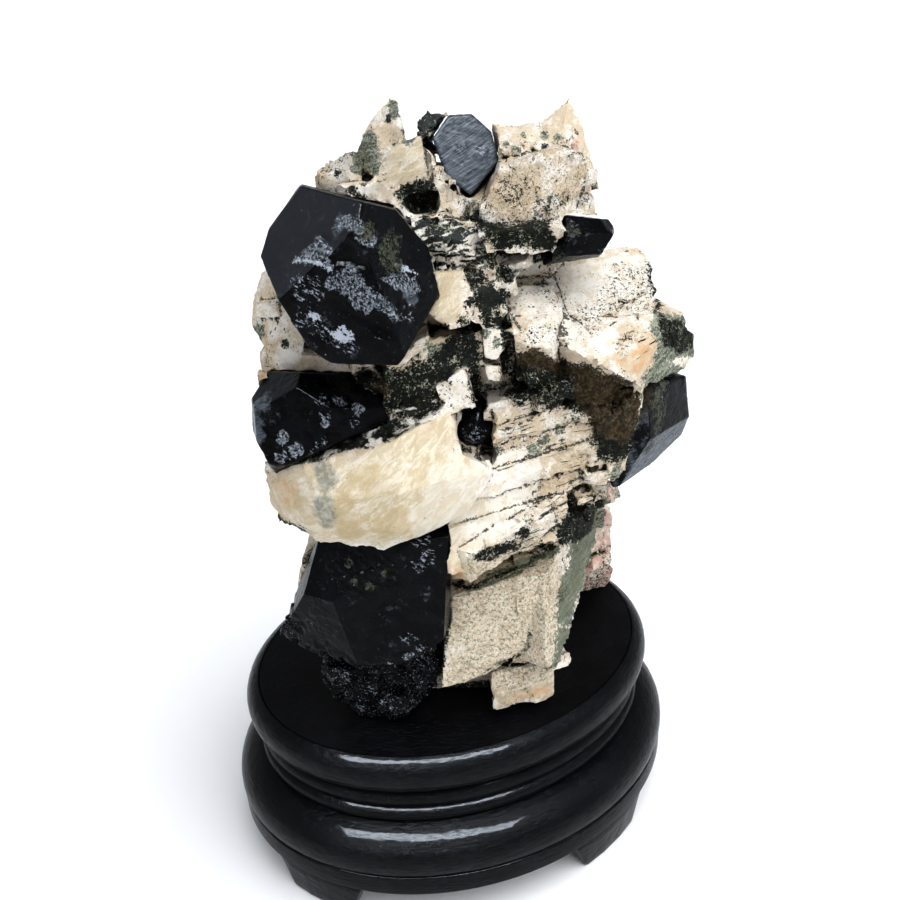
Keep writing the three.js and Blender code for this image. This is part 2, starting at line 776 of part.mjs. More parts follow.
function named(name, solid, colour, roughness) {
  const material = new THREE.MeshStandardMaterial({ color: colour, roughness, metalness: 0 });
  material.name = name;
  const mesh = new THREE.Mesh(toGeometry(solid), material);
  mesh.name = name;
  return mesh;
}

function buildSpecimen() {
  const specimen = new THREE.Group();
  specimen.name = 'specimen';
  specimen.rotation.z = radians(specimenTurn);
  specimen.position.z = seatHeight;
  specimen.add(named('feldspar_matrix', feldsparMatrix(), colours.feldspar, 0.7));
  specimen.add(named('morion_upper_left', cutBlock(morions.upperLeft), colours.morion, 0.25));
  specimen.add(named('morion_middle_left', cutBlock(morions.middleLeft), colours.morion, 0.25));
  specimen.add(named('morion_lower_left', lowerLeftMorion(), colours.morion, 0.35));
  specimen.add(named('morion_right', cutBlock(morions.right), colours.morion, 0.25));
  specimen.add(named('morion_top_right', cutBlock(morions.topRight), colours.morion, 0.25));
  specimen.add(named('morion_top', slab(topPlate), colours.morion, 0.25));
  specimen.add(named('morion_in_hollow', pointedPrism(hollowPoint), colours.morion, 0.25));
  specimen.add(named('morion_back_low', pointedPrism(backLowPoint), colours.morion, 0.25));
  specimen.add(named('morion_back_high', pointedPrism(backHighPoint), colours.morion, 0.25));
  return specimen;
}

function buildStand() {
  const stand = new THREE.Group();
  stand.name = 'oval_stand';
  stand.position.z = seatHeight;
  stand.add(named('stand_body', standBody(), colours.lacquer, 0.2));
  for (const [place, angle] of Object.entries(footAngles)) {
    stand.add(named(`foot_${place}`, standFoot(angle), colours.lacquer, 0.2));
  }
  return stand;
}

const cluster = new THREE.Group();
cluster.name = 'morion_quartz_cluster';
cluster.add(buildSpecimen());
cluster.add(buildStand());

// The origin is the middle of the footprint, on the floor.
cluster.updateMatrixWorld(true);
const bounds = new THREE.Box3().setFromObject(cluster, true);
const middle = bounds.getCenter(new THREE.Vector3());
cluster.position.set(-middle.x, -middle.y, -bounds.min.z);
cluster.updateMatrixWorld(true);

export default cluster;
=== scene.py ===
import itertools
import math
from collections import defaultdict

import bmesh
import bpy
import numpy as np
from mathutils import Matrix, Vector
from mathutils.bvhtree import BVHTree


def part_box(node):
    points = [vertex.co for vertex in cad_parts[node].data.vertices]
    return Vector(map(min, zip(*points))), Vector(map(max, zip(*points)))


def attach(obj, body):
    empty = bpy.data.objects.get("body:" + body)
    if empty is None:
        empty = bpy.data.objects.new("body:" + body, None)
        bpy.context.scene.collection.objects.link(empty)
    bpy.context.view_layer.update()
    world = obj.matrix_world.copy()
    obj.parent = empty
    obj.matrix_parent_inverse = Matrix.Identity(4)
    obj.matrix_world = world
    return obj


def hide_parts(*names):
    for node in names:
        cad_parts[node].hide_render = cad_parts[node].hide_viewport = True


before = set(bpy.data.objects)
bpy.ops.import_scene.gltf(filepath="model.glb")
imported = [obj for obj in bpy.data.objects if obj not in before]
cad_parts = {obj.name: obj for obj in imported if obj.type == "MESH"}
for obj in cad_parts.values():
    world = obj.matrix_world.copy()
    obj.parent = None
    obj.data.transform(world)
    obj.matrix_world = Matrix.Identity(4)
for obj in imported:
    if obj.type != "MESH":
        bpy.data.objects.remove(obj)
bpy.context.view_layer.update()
mm = 0.001

# The stone is measured as it stands on its seat: x to the right, y to the back, z up, in millimetres
stone = {
    "turn": math.radians(-18),
    "seat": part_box("stand_body")[1].z,
}


def turned(points, angle):
    c, s = math.cos(angle), math.sin(angle)
    x = points[:, 0] * c - points[:, 1] * s
    y = points[:, 0] * s + points[:, 1] * c
    return np.stack([x, y, points[:, 2]], 1)


def toStone(points):
    return turned(points - (0, 0, stone["seat"]), -stone["turn"]) / mm


def toFrame(points):
    return turned(points * mm, stone["turn"]) + (0, 0, stone["seat"])


# Node trees: a Wire is one socket with arithmetic
class Wire:
    def __init__(self, tree, node, output=0):
        self.tree = tree
        self.socket = node.outputs[output] if node.outputs else None

    def math(self, operation, first, second):
        return self.tree.node("Math", {"operation": operation}, {0: first, 1: second})

    def __add__(self, other):
        return self.math("ADD", self, other)

    def __radd__(self, other):
        return self.math("ADD", other, self)

    def __sub__(self, other):
        return self.math("SUBTRACT", self, other)

    def __rsub__(self, other):
        return self.math("SUBTRACT", other, self)

    def __mul__(self, other):
        return self.math("MULTIPLY", self, other)

    def __rmul__(self, other):
        return self.math("MULTIPLY", other, self)


class NodeTree:
    def __init__(self, owner):
        owner.use_nodes = True
        self.tree = owner.node_tree
        self.tree.nodes.clear()

    def node(self, kind, settings=None, inputs=None, output=0):
        made = self.tree.nodes.new("ShaderNode" + kind)
        for name, value in (settings or {}).items():
            if name == "stops":
                for stop, (position, colour) in zip(made.color_ramp.elements, value):
                    stop.position = position
                    stop.color = colour
            else:
                setattr(made, name, value)
        for name, value in (inputs or {}).items():
            if isinstance(value, Wire):
                self.tree.links.new(value.socket, made.inputs[name])
            else:
                made.inputs[name].default_value = value
        return Wire(self, made, output)


# A material, with its patterns measured in millimetres
class Finish(NodeTree):
    colourMix = {"factor": 0, "first": 6, "second": 7, "result": 2}

    def __init__(self, name):
        self.material = bpy.data.materials.new(name)
        super().__init__(self.material)
        place = self.node("TexCoord", output="Object")
        perMetre = (1 / mm, 1 / mm, 1 / mm)
        self.place = self.node("VectorMath", {"operation": "MULTIPLY"}, {0: place, 1: perMetre})

    def mask(self, name):
        return self.node("Attribute", {"attribute_name": name}, output="Fac")

    def noise(self, size, detail=2, roughness=0.5, place=None, distortion=0):
        inputs = {
            "Vector": place or self.place,
            "Scale": 1 / size,
            "Detail": detail,
            "Roughness": roughness,
            "Distortion": distortion,
        }
        return self.node("TexNoise", {}, inputs, "Fac")

    def step(self, value, low, high):
        inputs = {"Value": value, "From Min": low, "From Max": high}
        return self.node("MapRange", {"interpolation_type": "SMOOTHSTEP"}, inputs)

    # Patches of noise, with soft borders from `low` to `high`
    def patchy(self, size, low, high, detail=5, roughness=0.7):
        return self.step(self.noise(size, detail, roughness), low, high)

    # A mask whose border is broken up by noise
    def ragged(self, name, size, low, high, amount=2.4):
        return self.step(self.mask(name) + amount * (self.noise(size, 5, 0.7) - 0.5), low, high)

    # Space stretched to `size` along axes of the stone, tipped by degrees about x and y
    def stretched(self, size, tipX, tipY):
        rotation = (math.radians(tipX), math.radians(tipY), stone["turn"])
        inputs = {"Vector": self.place, "Rotation": rotation, "Scale": size}
        return self.node("Mapping", {"vector_type": "TEXTURE"}, inputs)

    def most(self, first, second):
        return self.node("Math", {"operation": "MAXIMUM"}, {0: first, 1: second})

    def blend(self, factor, first, second):
        at = self.colourMix
        inputs = {at["factor"]: factor, at["first"]: first, at["second"]: second}
        return self.node("Mix", {"data_type": "RGBA", "blend_type": "MIX"}, inputs, at["result"])

    def bump(self, height, depth, strength):
        inputs = {"Strength": strength, "Distance": depth * mm, "Height": height}
        return self.node("Bump", {}, inputs, "Normal")

    def surface(self, inputs):
        self.node("OutputMaterial", {}, {"Surface": self.node("BsdfPrincipled", {}, inputs)})
        return self.material


# Camera, floor and lights
shot = {
    "target": (3.4, 0, 54.5),
    "distance": 241,
    "elevation": math.radians(31),
    "roll": math.radians(-3.6),
    "lens": 44,
    "sensor": 36,
    "gamma": 0.78,
}
light = {
    "sky": 0.66,
    "skyStops": [(0.12, (0.92, 0.95, 1.0, 1)), (0.7, (0.62, 0.63, 0.67, 1))],
    "key": 22,
    "keyColour": (0.84, 0.91, 1.0),
    "keyPlace": (-0.12, -0.26, 0.70),
    "keyTarget": (0, 0, 0.06),
    "keyLength": 0.70,
    "keyWidth": 0.20,
    "fill": 3.1,
    "fillPlace": (0.25, -0.5, 1.0),
    "fillSpread": math.radians(62),
}
ground = {
    "size": 6,
    "colour": (0.94, 0.95, 0.96, 1),
    "roughness": 0.85,
    "specular": 0.1,
}


def added(name, data):
    made = bpy.data.objects.new(name, data)
    bpy.context.scene.collection.objects.link(made)
    return made


def makeCamera():
    e, roll = shot["elevation"], shot["roll"]
    ahead = Vector((0, math.cos(e), -math.sin(e)))
    right = Vector((1, 0, 0))
    up = right.cross(ahead)
    side = math.cos(roll) * right + math.sin(roll) * up
    top = -math.sin(roll) * right + math.cos(roll) * up
    place = np.array([Vector(shot["target"]) - shot["distance"] * ahead])
    axes = Matrix((side, top, -ahead)).transposed().to_4x4()
    data = bpy.data.cameras.new("camera")
    data.lens = shot["lens"]
    data.sensor_width = shot["sensor"]
    made = added("camera", data)
    made.matrix_world = (
        Matrix.Translation(toFrame(place)[0]) @ Matrix.Rotation(stone["turn"], 4, "Z") @ axes
    )
    bpy.context.scene.camera = made


def aimed(name, kind, place, target):
    made = added(name, bpy.data.lights.new(name, kind))
    made.location = place
    made.rotation_euler = (Vector(target) - Vector(place)).to_track_quat("-Z", "Y").to_euler()
    return made


def makeLights():
    world = bpy.data.worlds.new("studio")
    bpy.context.scene.world = world
    sky = NodeTree(world)
    place = sky.node("TexCoord", output="Generated")
    height = sky.node("SeparateXYZ", {}, {"Vector": place}, "Z")
    colour = sky.node("ValToRGB", {"stops": light["skyStops"]}, {"Fac": height})
    glow = sky.node("Background", {}, {"Color": colour, "Strength": light["sky"]})
    sky.node("OutputWorld", {}, {"Surface": glow})
    # a long strip that only makes highlights, and a broad soft light that only brightens
    key = aimed("key", "AREA", light["keyPlace"], light["keyTarget"])
    key.data.shape = "RECTANGLE"
    key.data.size = light["keyLength"]
    key.data.size_y = light["keyWidth"]
    key.data.energy = light["key"]
    key.data.color = light["keyColour"]
    key.visible_diffuse = False
    fill = aimed("fill", "SUN", light["fillPlace"], (0, 0, 0))
    fill.data.angle = light["fillSpread"]
    fill.data.energy = light["fill"]
    fill.visible_glossy = False


def makeFloor():
    half = ground["size"] / 2
    corners = [(-half, -half, 0), (half, -half, 0), (half, half, 0), (-half, half, 0)]
    data = bpy.data.meshes.new("floor")
    data.from_pydata(corners, [], [(0, 1, 2, 3)])
    made = added("floor", data)
    paint = bpy.data.materials.new("paleFloor")
    paint.use_nodes = True
    surface = paint.node_tree.nodes["Principled BSDF"]
    surface.inputs["Base Color"].default_value = ground["colour"]
    surface.inputs["Roughness"].default_value = ground["roughness"]
    surface.inputs["Specular IOR Level"].default_value = ground["specular"]
    data.materials.append(paint)


makeCamera()
makeLights()
makeFloor()
bpy.context.scene.view_settings.view_transform = "Standard"
bpy.context.scene.view_settings.gamma = shot["gamma"]
print("stage set")


# Repeatable noise on points, all in millimetres
mixing = {"x": 374761393, "y": 668265263, "z": 1442695041, "seed": 974711, "stir": 1274126177}
ones = 0xFFFFFF
faraway = 99.0


def hashed(cells, seed):
    n = cells[:, 0] * mixing["x"] + cells[:, 1] * mixing["y"] + cells[:, 2] * mixing["z"]
    n = n + (seed + 1) * mixing["seed"]
    n = (n ^ (n >> 13)) * mixing["stir"]
    n = n ^ (n >> 16)
    return (n & ones) / ones


def softNoise(points, size, seed=0):
    at = points / size
    base = np.floor(at).astype(np.int64)
    part = at - base
    part = part * part * (3 - 2 * part)
    total = np.zeros(len(points))
    for corner in itertools.product((0, 1), repeat=3):
        weight = np.where(corner, part, 1 - part).prod(axis=1)
        total += weight * hashed(base + corner, seed)
    return total * 2 - 1


def cloud(points, size, octaves=3, seed=0):
    total = sum(softNoise(points, size / 2**i, seed + 7 * i) / 2**i for i in range(octaves))
    return total / sum(0.5**i for i in range(octaves))


# Three clouds at each point, to bend a border or a grid with
def wander(points, size, octaves, seed):
    return np.stack([cloud(points, size, octaves, seed + k) for k in range(3)], 1)


# Nearest of the scattered cell centres: its random number, the way from it, and the room to the border
def scattered(points, size, seed=0, blocky=False):
    at = points / size
    base = np.floor(at).astype(np.int64)
    nearest = np.full(len(points), faraway)
    following = np.full(len(points), faraway)
    away = np.zeros_like(at)
    chosen = np.zeros(len(points))
    for step in itertools.product((-1, 0, 1), repeat=3):
        cell = base + step
        jitter = np.stack([hashed(cell, seed + i) for i in range(3)], 1)
        toCentre = at - cell - jitter
        if blocky:
            distance = np.abs(toCentre).max(axis=1)
        else:
            distance = np.linalg.norm(toCentre, axis=1)
        closer = distance < nearest
        following = np.where(closer, nearest, np.minimum(following, distance))
        nearest = np.where(closer, distance, nearest)
        away[closer] = toCentre[closer]
        chosen[closer] = hashed(cell[closer], seed + 3)
    return chosen, away * size, (following - nearest) * size


def smoothstep(low, high, values):
    t = np.clip((values - low) / (high - low), 0, 1)
    return t * t * (3 - 2 * t)


def unit(vector):
    return np.array(vector, float) / np.linalg.norm(vector)


# Strength at each point of a list of places (x, y, z, radius): half at the radius, with a bent border
def spotted(points, places, bend=0.9, seed=50):
    moved = points + bend * wander(points, 3.5, 3, seed)
    strength = np.zeros(len(points))
    for x, y, z, radius in places:
        distance = np.linalg.norm(moved - (x, y, z), axis=1) / radius
        strength = np.maximum(strength, 1.25 - 0.75 * distance)
    return np.clip(strength, 0, 1)


# The same with a wider full middle
def filled(points, places, gain=1.4, bend=0.9):
    return np.minimum(1, gain * spotted(points, places, bend))


# Outlines and cracks are drawn on the photo's view: x, and the height seen from its side
viewUp = np.array([0, math.sin(shot["elevation"]), math.cos(shot["elevation"])])
toViewer = np.array([0, -math.cos(shot["elevation"]), math.sin(shot["elevation"])])


def seen(points):
    return np.stack([points[:, 0], points @ viewUp], 1)


def fromSegment(at, a, b):
    side = b - a
    along = np.clip((at - a) @ side / (side @ side), 0, 1)
    return at - a - along[:, None] * side


# How far inside an outline each point is, negative outside
def within(points, outline):
    corners = np.array(outline, float)
    at = seen(points)
    inside = np.zeros(len(at), bool)
    nearest = np.full(len(at), faraway)
    for a, b in zip(corners, np.roll(corners, -1, axis=0)):
        side = b - a
        nearest = np.minimum(nearest, np.linalg.norm(fromSegment(at, a, b), axis=1))
        crosses = (a[1] > at[:, 1]) != (b[1] > at[:, 1])
        inside ^= crosses & (at[:, 0] < a[0] + (at[:, 1] - a[1]) * side[0] / (side[1] or 1))
    return np.where(inside, nearest, -nearest)


# Strength inside a list of outlines on what faces the viewer: half at the border
def outlined(points, normals, outlines, bend=0.5, seed=70):
    moved = points + bend * wander(points, 2.5, 3, seed)
    strength = np.zeros(len(points))
    for outline in outlines:
        strength = np.maximum(strength, np.clip(0.5 + 0.55 * within(moved, outline), 0, 1))
    return strength * smoothstep(-0.4, 0, normals @ toViewer)


def marked(points, normals, places, outlines, bend, seed=70):
    return np.maximum(spotted(points, places), outlined(points, normals, outlines, bend, seed))


# Distance to the nearest thin crack: signed, in half widths, and plain
def lined(points, normals, lines):
    at = seen(points + 0.25 * wander(points, 1.6, 2, 90))
    away = 9.0
    nearest = np.full(len(at), away)
    aside = np.full(len(at), away)
    for half, line in lines:
        corners = np.array(line, float)
        for a, b in zip(corners, corners[1:]):
            side = b - a
            off = fromSegment(at, a, b)
            distance = np.linalg.norm(off, axis=1)
            closer = distance < nearest
            turn = np.sign(side[0] * off[:, 1] - side[1] * off[:, 0])
            aside = np.where(closer, turn * distance / half, aside)
            nearest = np.where(closer, distance, nearest)
    return aside, np.where(normals @ toViewer > -0.2, nearest, away)


# Strength on the flat faces that look one of the ways (x, y, z, amount)
def faced(normals, ways):
    strength = np.zeros(len(normals))
    for x, y, z, amount in ways:
        strength = np.maximum(strength, amount * smoothstep(0.94, 0.985, normals @ unit((x, y, z))))
    return strength


# Mesh helpers
def weldedCopy(node, name):
    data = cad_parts[node].data.copy()
    data.name = name
    data.materials.clear()
    work = bmesh.new()
    work.from_mesh(data)
    bmesh.ops.remove_doubles(work, verts=work.verts[:], dist=0.002 * mm)
    work.to_mesh(data)
    work.free()
    return added(name, data)


# Applies the modifiers
def settled(piece):
    view = bpy.context.evaluated_depsgraph_get()
    data = bpy.data.meshes.new_from_object(piece.evaluated_get(view))
    piece.modifiers.clear()
    old = piece.data
    piece.data = data
    bpy.data.meshes.remove(old)


def readAll(items, name, width, kind=float):
    flat = np.zeros(len(items) * width, kind)
    items.foreach_get(name, flat)
    return flat.reshape(-1, width)


def pointsOf(data):
    return readAll(data.vertices, "co", 3)


def normalsOf(data):
    return readAll(data.vertex_normals, "vector", 3)


def edgesOf(data):
    return readAll(data.edges, "vertices", 2, np.int64)


def setPoints(data, points):
    data.vertices.foreach_set("co", points.ravel())
    data.update()


# Sum over each point's neighbours
def neighbourSum(values, edges):
    total = np.bincount(edges[:, 0], values[edges[:, 1]], len(values))
    return total + np.bincount(edges[:, 1], values[edges[:, 0]], len(values))


def neighbourCount(edges, size):
    return np.maximum(np.bincount(edges.ravel(), minlength=size), 1)


# Blurs values over the mesh
def evened(values, edges, rounds):
    count = neighbourCount(edges, len(values))
    for _ in range(rounds):
        values = 0.5 * values + 0.5 * neighbourSum(values, edges) / count
    return values


# The middle of each point's neighbours
def middles(points, edges):
    total = np.stack([neighbourSum(points[:, k], edges) for k in range(3)], 1)
    return total / neighbourCount(edges, len(points))[:, None]


# Pulls in the needles, whose points lie further than `reach` from the middle of their neighbours
def withoutNeedles(points, edges, reach):
    for _ in range(4):
        middle = middles(points, edges)
        lonely = np.linalg.norm(middle - points, axis=1) > reach
        points = np.where(lonely[:, None], middle, points)
    return points


def writeMask(data, name, values):
    layer = data.attributes.new(name, "FLOAT", "POINT")
    layer.data.foreach_set("value", values.astype(np.float32))


def finishShading(data, angle):
    data.shade_smooth()
    data.set_sharp_from_angle(angle=math.radians(angle))


# Feldspar
rock = {
    "gridDepth": 8,
    "gridFill": 0.665,
    "cleavage": (-0.13, 0.06, 1),
    "layer": 2.1,
    "layerDepth": 0.9,
    "blockLength": 6.5,
    "blockWidth": 5,
    "slab": 2.2,
    "slabHeight": 11,
    "slabDepth": 0.3,
    "chip": 4.6,
    "chipDepth": 0.32,
    "smallChip": 0.45,
    "smallDepth": 0.3,
    "wear": 0.75,
    "peakWear": 0.8,
    "sag": 0.22,
    "grain": 0.12,
    "grainSize": 1.3,
    "ripple": 0.40,
    "rippleSize": (3.8, 2.6, 1.4),
    "crackDepth": 0.6,
    "lump": 1.5,
    "lumpDepth": 0.9,
    "needle": 0.62,
    "rays": 16,
    "rayLift": 0.35,
    "near": 3.2,
    "far": 11,
    "sharp": 34,
    "roughness": 0.68,
    "specular": 0.16,
    "bumpDepth": 0.32,
    "bump": 0.8,
}
# How much being enclosed near and far, facing down, lying in a crease and in a recessed block add to the
# painted shade: the dark and the olive-brown crevice shade
paintedShadeWeights = {"near": 1, "far": 0.55, "under": 0.28, "jointAndCreaseShade": 0.45, "layer": 0.4, "start": 0.62}
creviceShadeWeights = {"near": 1.2, "far": 0.4, "jointAndCreaseShade": 0.35, "start": 0.3}
# Where each look shows: places are x, y, z and radius, outlines are corners on the photo's view
# dark chlorite, and painted shadow below the smooth block at (-26, -22, 45)
chloriteAndShadowPlaces = [
    (14, -20, 113, 1.2), (17, -22, 112, 1.2), (30, -6, 124, 0.7), (24, -10, 123, 0.7),
    (6, -18, 112, 1.4), (8, -18, 111, 1.3), (6, -15, 113, 1), (-1, -9, 127, 0.9), (-4, -6, 128, 0.6),
    (-1, -14, 114, 1.4), (2, -3, 127, 2.2), (4, -3, 128, 2.2), (2, -19, 111, 1), (4, -21, 106, 1.2),
    (7, -21, 106, 1.4), (9, -20, 104, 1.4), (10, -21, 103, 1.8), (13, -21, 106, 1.6),
    (11, -22, 100, 1.9), (14, -22, 99, 1.8), (12, -23, 96, 1.8), (9, -25, 100, 0.9), (15, -20, 103, 1.5),
    (4, -27, 96, 0.8), (7, -26, 97, 0.9), (8, -23, 93, 1.6), (5, -24, 91, 2), (-5, -26, 85, 2.4),
    (-1, -25, 86, 2.6), (3, -25, 87, 2), (1, -26, 83, 1.6), (-8, -26, 88, 1.6), (17, -24, 86, 2.6),
    (17, -20, 79, 2.6), (20, -23, 81, 3), (25, -22, 84, 3), (24, -24, 79, 3), (30, -26, 85, 1.8),
    (32, -24, 78, 3.2), (36, -23, 77, 2.6), (34, -24, 73, 3), (38, -25, 73, 2.4), (32, -25, 70, 2.1),
    (34, -25, 67, 2), (36, -25, 71, 3.2), (38, -24, 68, 2.6), (18, -25, 75, 0.7), (31, -20, 50, 1.6),
    (32, -26, 57, 1.2), (20, -31, 50, 0.9), (16, -34, 55, 0.7), (12, -22, 38, 0.9), (46, -16, 89, 0.8),
    (52, -11, 82, 0.8), (44, -8, 97, 0.9), (45, -12, 94, 1.1), (42, -12, 95, 0.9), (38, -15, 94, 0.7),
    (-31, -28, 58, 1.2), (-26, -22, 45, 3), (-12, -24, 85, 1.5), (-27, -16, 90, 0.9),
    (-28, -13, 94, 0.8), (-11, -16, 119, 1.1), (-10, -16, 117, 1.1), (-9, -13, 119, 0.9),
    (-14, -8, 119, 0.8), (4, -23, 36, 1), (-2, -21, 15, 1.4), (0, -24, 24, 1.6), (1, -24, 31, 1.4),
]
# dark chlorite, and painted shade under the overhanging block on the right
chloriteAndShadowOutlines = [
    [(-3.4, 93.2), (-1.8, 94.6), (1, 95.6), (3.2, 95), (3.6, 92.6), (2.6, 90.8), (0, 89.4), (-1.4, 89),
     (-2.9, 90.4)],
    [(0, 107), (3, 108), (5, 109), (7, 108), (7, 106), (6, 104), (4, 103), (2, 102), (1, 106)],
    [(11, 88), (15, 86), (18, 86), (21, 87), (24, 87), (23, 84), (25, 82), (22, 81), (18, 82), (14, 82),
     (11, 83), (10, 85)],
    [(9, 76), (13, 76), (14, 73), (14, 70), (16, 66), (16, 61), (14, 60), (14, 68), (12, 69), (11, 70),
     (10, 73)],
    [(8, 70), (9, 68), (10, 66), (10, 60), (11, 54), (9, 53), (8, 58), (7, 65), (7, 69)],
    [(45, 70), (47, 69), (52, 68), (54, 67), (53, 64), (49, 63), (46, 64), (44, 67)],
    # painted shade: the shadowed underside of the overhanging block on the right
    [(17, 64), (20, 64), (23, 62), (28, 61), (33, 59), (38, 57), (40, 54), (41, 51), (42, 48), (39, 45),
     (37, 43), (35, 42), (33, 45), (32, 47), (31, 50), (30, 52), (27, 53), (23, 55), (22, 57), (19, 56),
     (16, 57), (16, 60)],
    [(44, 81), (45, 79), (45, 76), (47, 74), (46, 71), (45, 71), (44, 75), (44, 78)],
    [(-8, 62), (-5, 62), (-1, 63), (3, 66), (7, 69), (9, 66), (9, 62), (5, 62), (1, 59), (0, 55),
     (-8, 55), (-10, 58)],
    [(-15, 60), (-14, 62), (-11, 63), (-9, 61), (-8, 59), (-9, 56), (-11, 58), (-14, 59)],
    [(7, 26), (10, 28), (13, 28), (15, 29), (16, 27), (13, 26), (10, 25), (7, 25)],
    [(16, 31), (18, 31), (18, 30), (16, 28)],
    [(29, 34), (34, 34), (36, 34), (34, 27), (29, 25), (25, 25), (23, 30), (26, 33)],
    [(-32, 35), (-28, 35), (-25, 33), (-26, 31), (-30, 32), (-32, 33)],
    [(-1.1, 19.3), (0.9, 19), (1.3, 13.1), (-0.1, 4.7), (-2.3, -6.5), (-3.3, -4), (-1.9, 8.4)],
]
gapOutlines = [
    [(0.6, 84.6), (3.3, 84.4), (5.7, 83), (9.6, 82.5), (10.2, 81), (5.6, 81.5), (1.2, 81.5)],
    [(1, 80.6), (3.8, 81.4), (7.7, 80.2), (9.4, 79.2), (3.6, 79), (1.6, 79.2)],
    [(2.1, 18.8), (5.8, 18.3), (12.2, 20.4), (18.8, 22.3), (23.1, 26.1), (24.8, 24.8), (18.6, 21.7),
     (12, 19.5), (5.7, 17.5), (2.6, 17.8)],
    [(-2.7, 92.6), (-1.8, 93.6), (0.5, 94.6), (2.3, 94.4), (3, 93), (2.6, 91.7), (0.2, 90.3),
     (-0.9, 89.9), (-2.1, 90.9)],
    # painted shade: the rock's underside just above the seat
    [(-2, -7.6), (9, -6.6), (10, -9.4), (-2, -10.4)],
]
# Thin cracks: half the width, and the line
crackLines = [
    (0.42, [(25, 92.8), (24.1, 91.5), (23.7, 89.9), (23.1, 87.9)]),
    (0.3, [(30.4, 93.5), (30, 91.6), (29.1, 89.6), (27.8, 87.9)]),
    (0.15, [(24.2, 80.2), (25.5, 77.9), (26.1, 75.4), (26.3, 73.4), (26.9, 70.9), (27.8, 69.6),
            (29.3, 68.1), (30.4, 66.7)]),
    (0.3, [(37.2, 71.7), (38.7, 72.5), (40, 73.1)]),
    (0.3, [(12.2, 76.2), (14.5, 77.6), (18, 78.3), (22.3, 78.4), (24.7, 78.2)]),
    (0.3, [(-9.2, 95), (-9, 93.4), (-8.9, 92.8)]),
    (0.28, [(2.3, 102.7), (2.3, 100.2), (2.5, 97.8), (2.7, 95.3)]),
    (0.45, [(3.3, 103.4), (4.5, 100), (5.8, 96.3), (7.3, 94), (8.6, 92.7), (9.5, 90.2),
            (9.3, 88.7)]),
    (0.26, [(13.9, 49.9), (16, 50.5), (18.4, 51.3), (19.8, 52.2)]),
    (0.15, [(12.2, 47.3), (15, 48.3), (17.3, 49.5), (19.3, 50.1)]),
    (0.26, [(20.1, 44.7), (22.3, 45.9), (24.3, 46.8), (25.9, 47.4)]),
    (0.16, [(10.5, 42.9), (12.3, 42.1), (15.1, 42.9), (17.9, 43.9), (20.3, 44.5)]),
    (0.2, [(18.2, 35.1), (21.2, 35.8), (24.2, 36.6), (27.4, 37.3), (30.3, 38)]),
    (0.28, [(20.2, 33), (21.6, 33.5), (22.4, 34.4)]),
    (0.2, [(17.3, 32.2), (19.8, 32.4)]),
    (0.3, [(22.8, 34.2), (23.2, 31.9), (23.2, 29.8)]),
    (0.25, [(23.4, 34.3), (26.2, 35.1), (28.6, 35.7), (31.5, 36.1)]),
    (0.32, [(26, 37.6), (26.9, 39), (28.5, 40.2), (29.8, 41.2), (30, 43.5)]),
    (0.32, [(19.4, 37.5), (20.4, 38.2), (20.8, 39.2)]),
    (0.3, [(8.4, 62.1), (9.9, 60.3), (10.6, 56.9), (10.3, 54.3)]),
    (0.35, [(10.6, 59), (12.4, 58.5), (13.8, 59)]),
    (0.3, [(14.3, 76), (15.2, 73.2), (16.3, 70.5), (17.5, 68.1)]),
    (0.35, [(7.8, 25.2), (9.8, 26.7), (11.8, 27.3)]),
    (0.55, [(-2.8, -6.9), (1.3, -6.2), (6.3, -3.2), (9, -1.2), (11.2, 0.5), (14.6, 1.2),
            (17.2, 3.6), (17.8, 6.5)]),
    (0.4, [(11.6, 0.1), (16.8, -1.6), (19.5, -1.1), (23.8, -0.7)]),
]
# the flank on the right is a darker, smoother green
flankPlaces = [
    (33, -9, 37, 6), (30, -14, 34, 5), (29, -17, 30, 4.5), (26, -22, 26, 3.6), (24, -24, 20, 3.6),
    (35, -11, 44, 4.4), (34, -6, 26, 7), (32, -8, 12, 7),
]
greenPlaces = flankPlaces + [
    (24, -28, 17, 2.2), (11, -25, 94, 1.2), (13, -26, 92, 1.2), (15, -23, 95, 1.2), (25, -24, 71, 1.5),
    (28, -24, 73, 1.4), (22, -24, 70, 1.1), (10, -16, 115, 1.1), (11, -16, 113, 1.1), (17, -9, 123, 0.9),
    (19, -11, 123, 0.8), (22, -11, 123, 0.9), (24, -8, 124, 0.8), (26, -9, 124, 0.9),
    (15, -12, 121, 0.8), (28, -10, 122, 0.7), (20, -7, 124, 0.7), (-3, -6, 130, 1.5),
    (-1, -10, 126, 1.3), (27, -24, 40, 2), (-32, -10, 90, 2), (-20, -8, 117, 1.4), (12, -25, 68, 1.3),
    (20, -25, 68, 1.3),
]
greenOutlines = [
    [(-10, 104), (-7, 105), (-6, 103), (-6, 100), (-6, 97), (-9, 98), (-10, 98), (-11, 99), (-11, 102)],
    [(43, 61), (44, 65), (46, 64), (47, 61), (52, 60), (50, 57), (46, 56), (43, 54), (42, 51), (43, 49),
     (40, 46), (37, 44), (36, 38), (34, 40), (37, 44), (40, 48), (41, 51), (40, 54), (41, 58)],
    [(44, 71), (55, 69), (55, 63), (46, 61), (42, 66)],
    [(34, 35), (39, 33), (39, 27), (33, 20), (29, 12), (27, 7), (25, 9), (24, 14), (25, 18), (29, 21),
     (32, 27)],
    [(6, 18), (12, 21), (19, 23), (25, 25), (24, 23), (18, 21), (12, 19), (7, 17)],
    [(0, 66), (4, 67), (5, 65), (3, 63), (0, 63)],
]
greyOutlines = [
    [(-22, 47), (-19, 46.5), (-17.4, 43), (-18.6, 40), (-20.8, 40), (-21.8, 43)],
    [(-22.3, 39.5), (-18.5, 40.5), (-18, 37), (-19.2, 33.5), (-21.5, 33.5), (-22.6, 36.5)],
    [(-33, 34), (-29, 33), (-27, 31), (-30, 30), (-33, 31)],
]
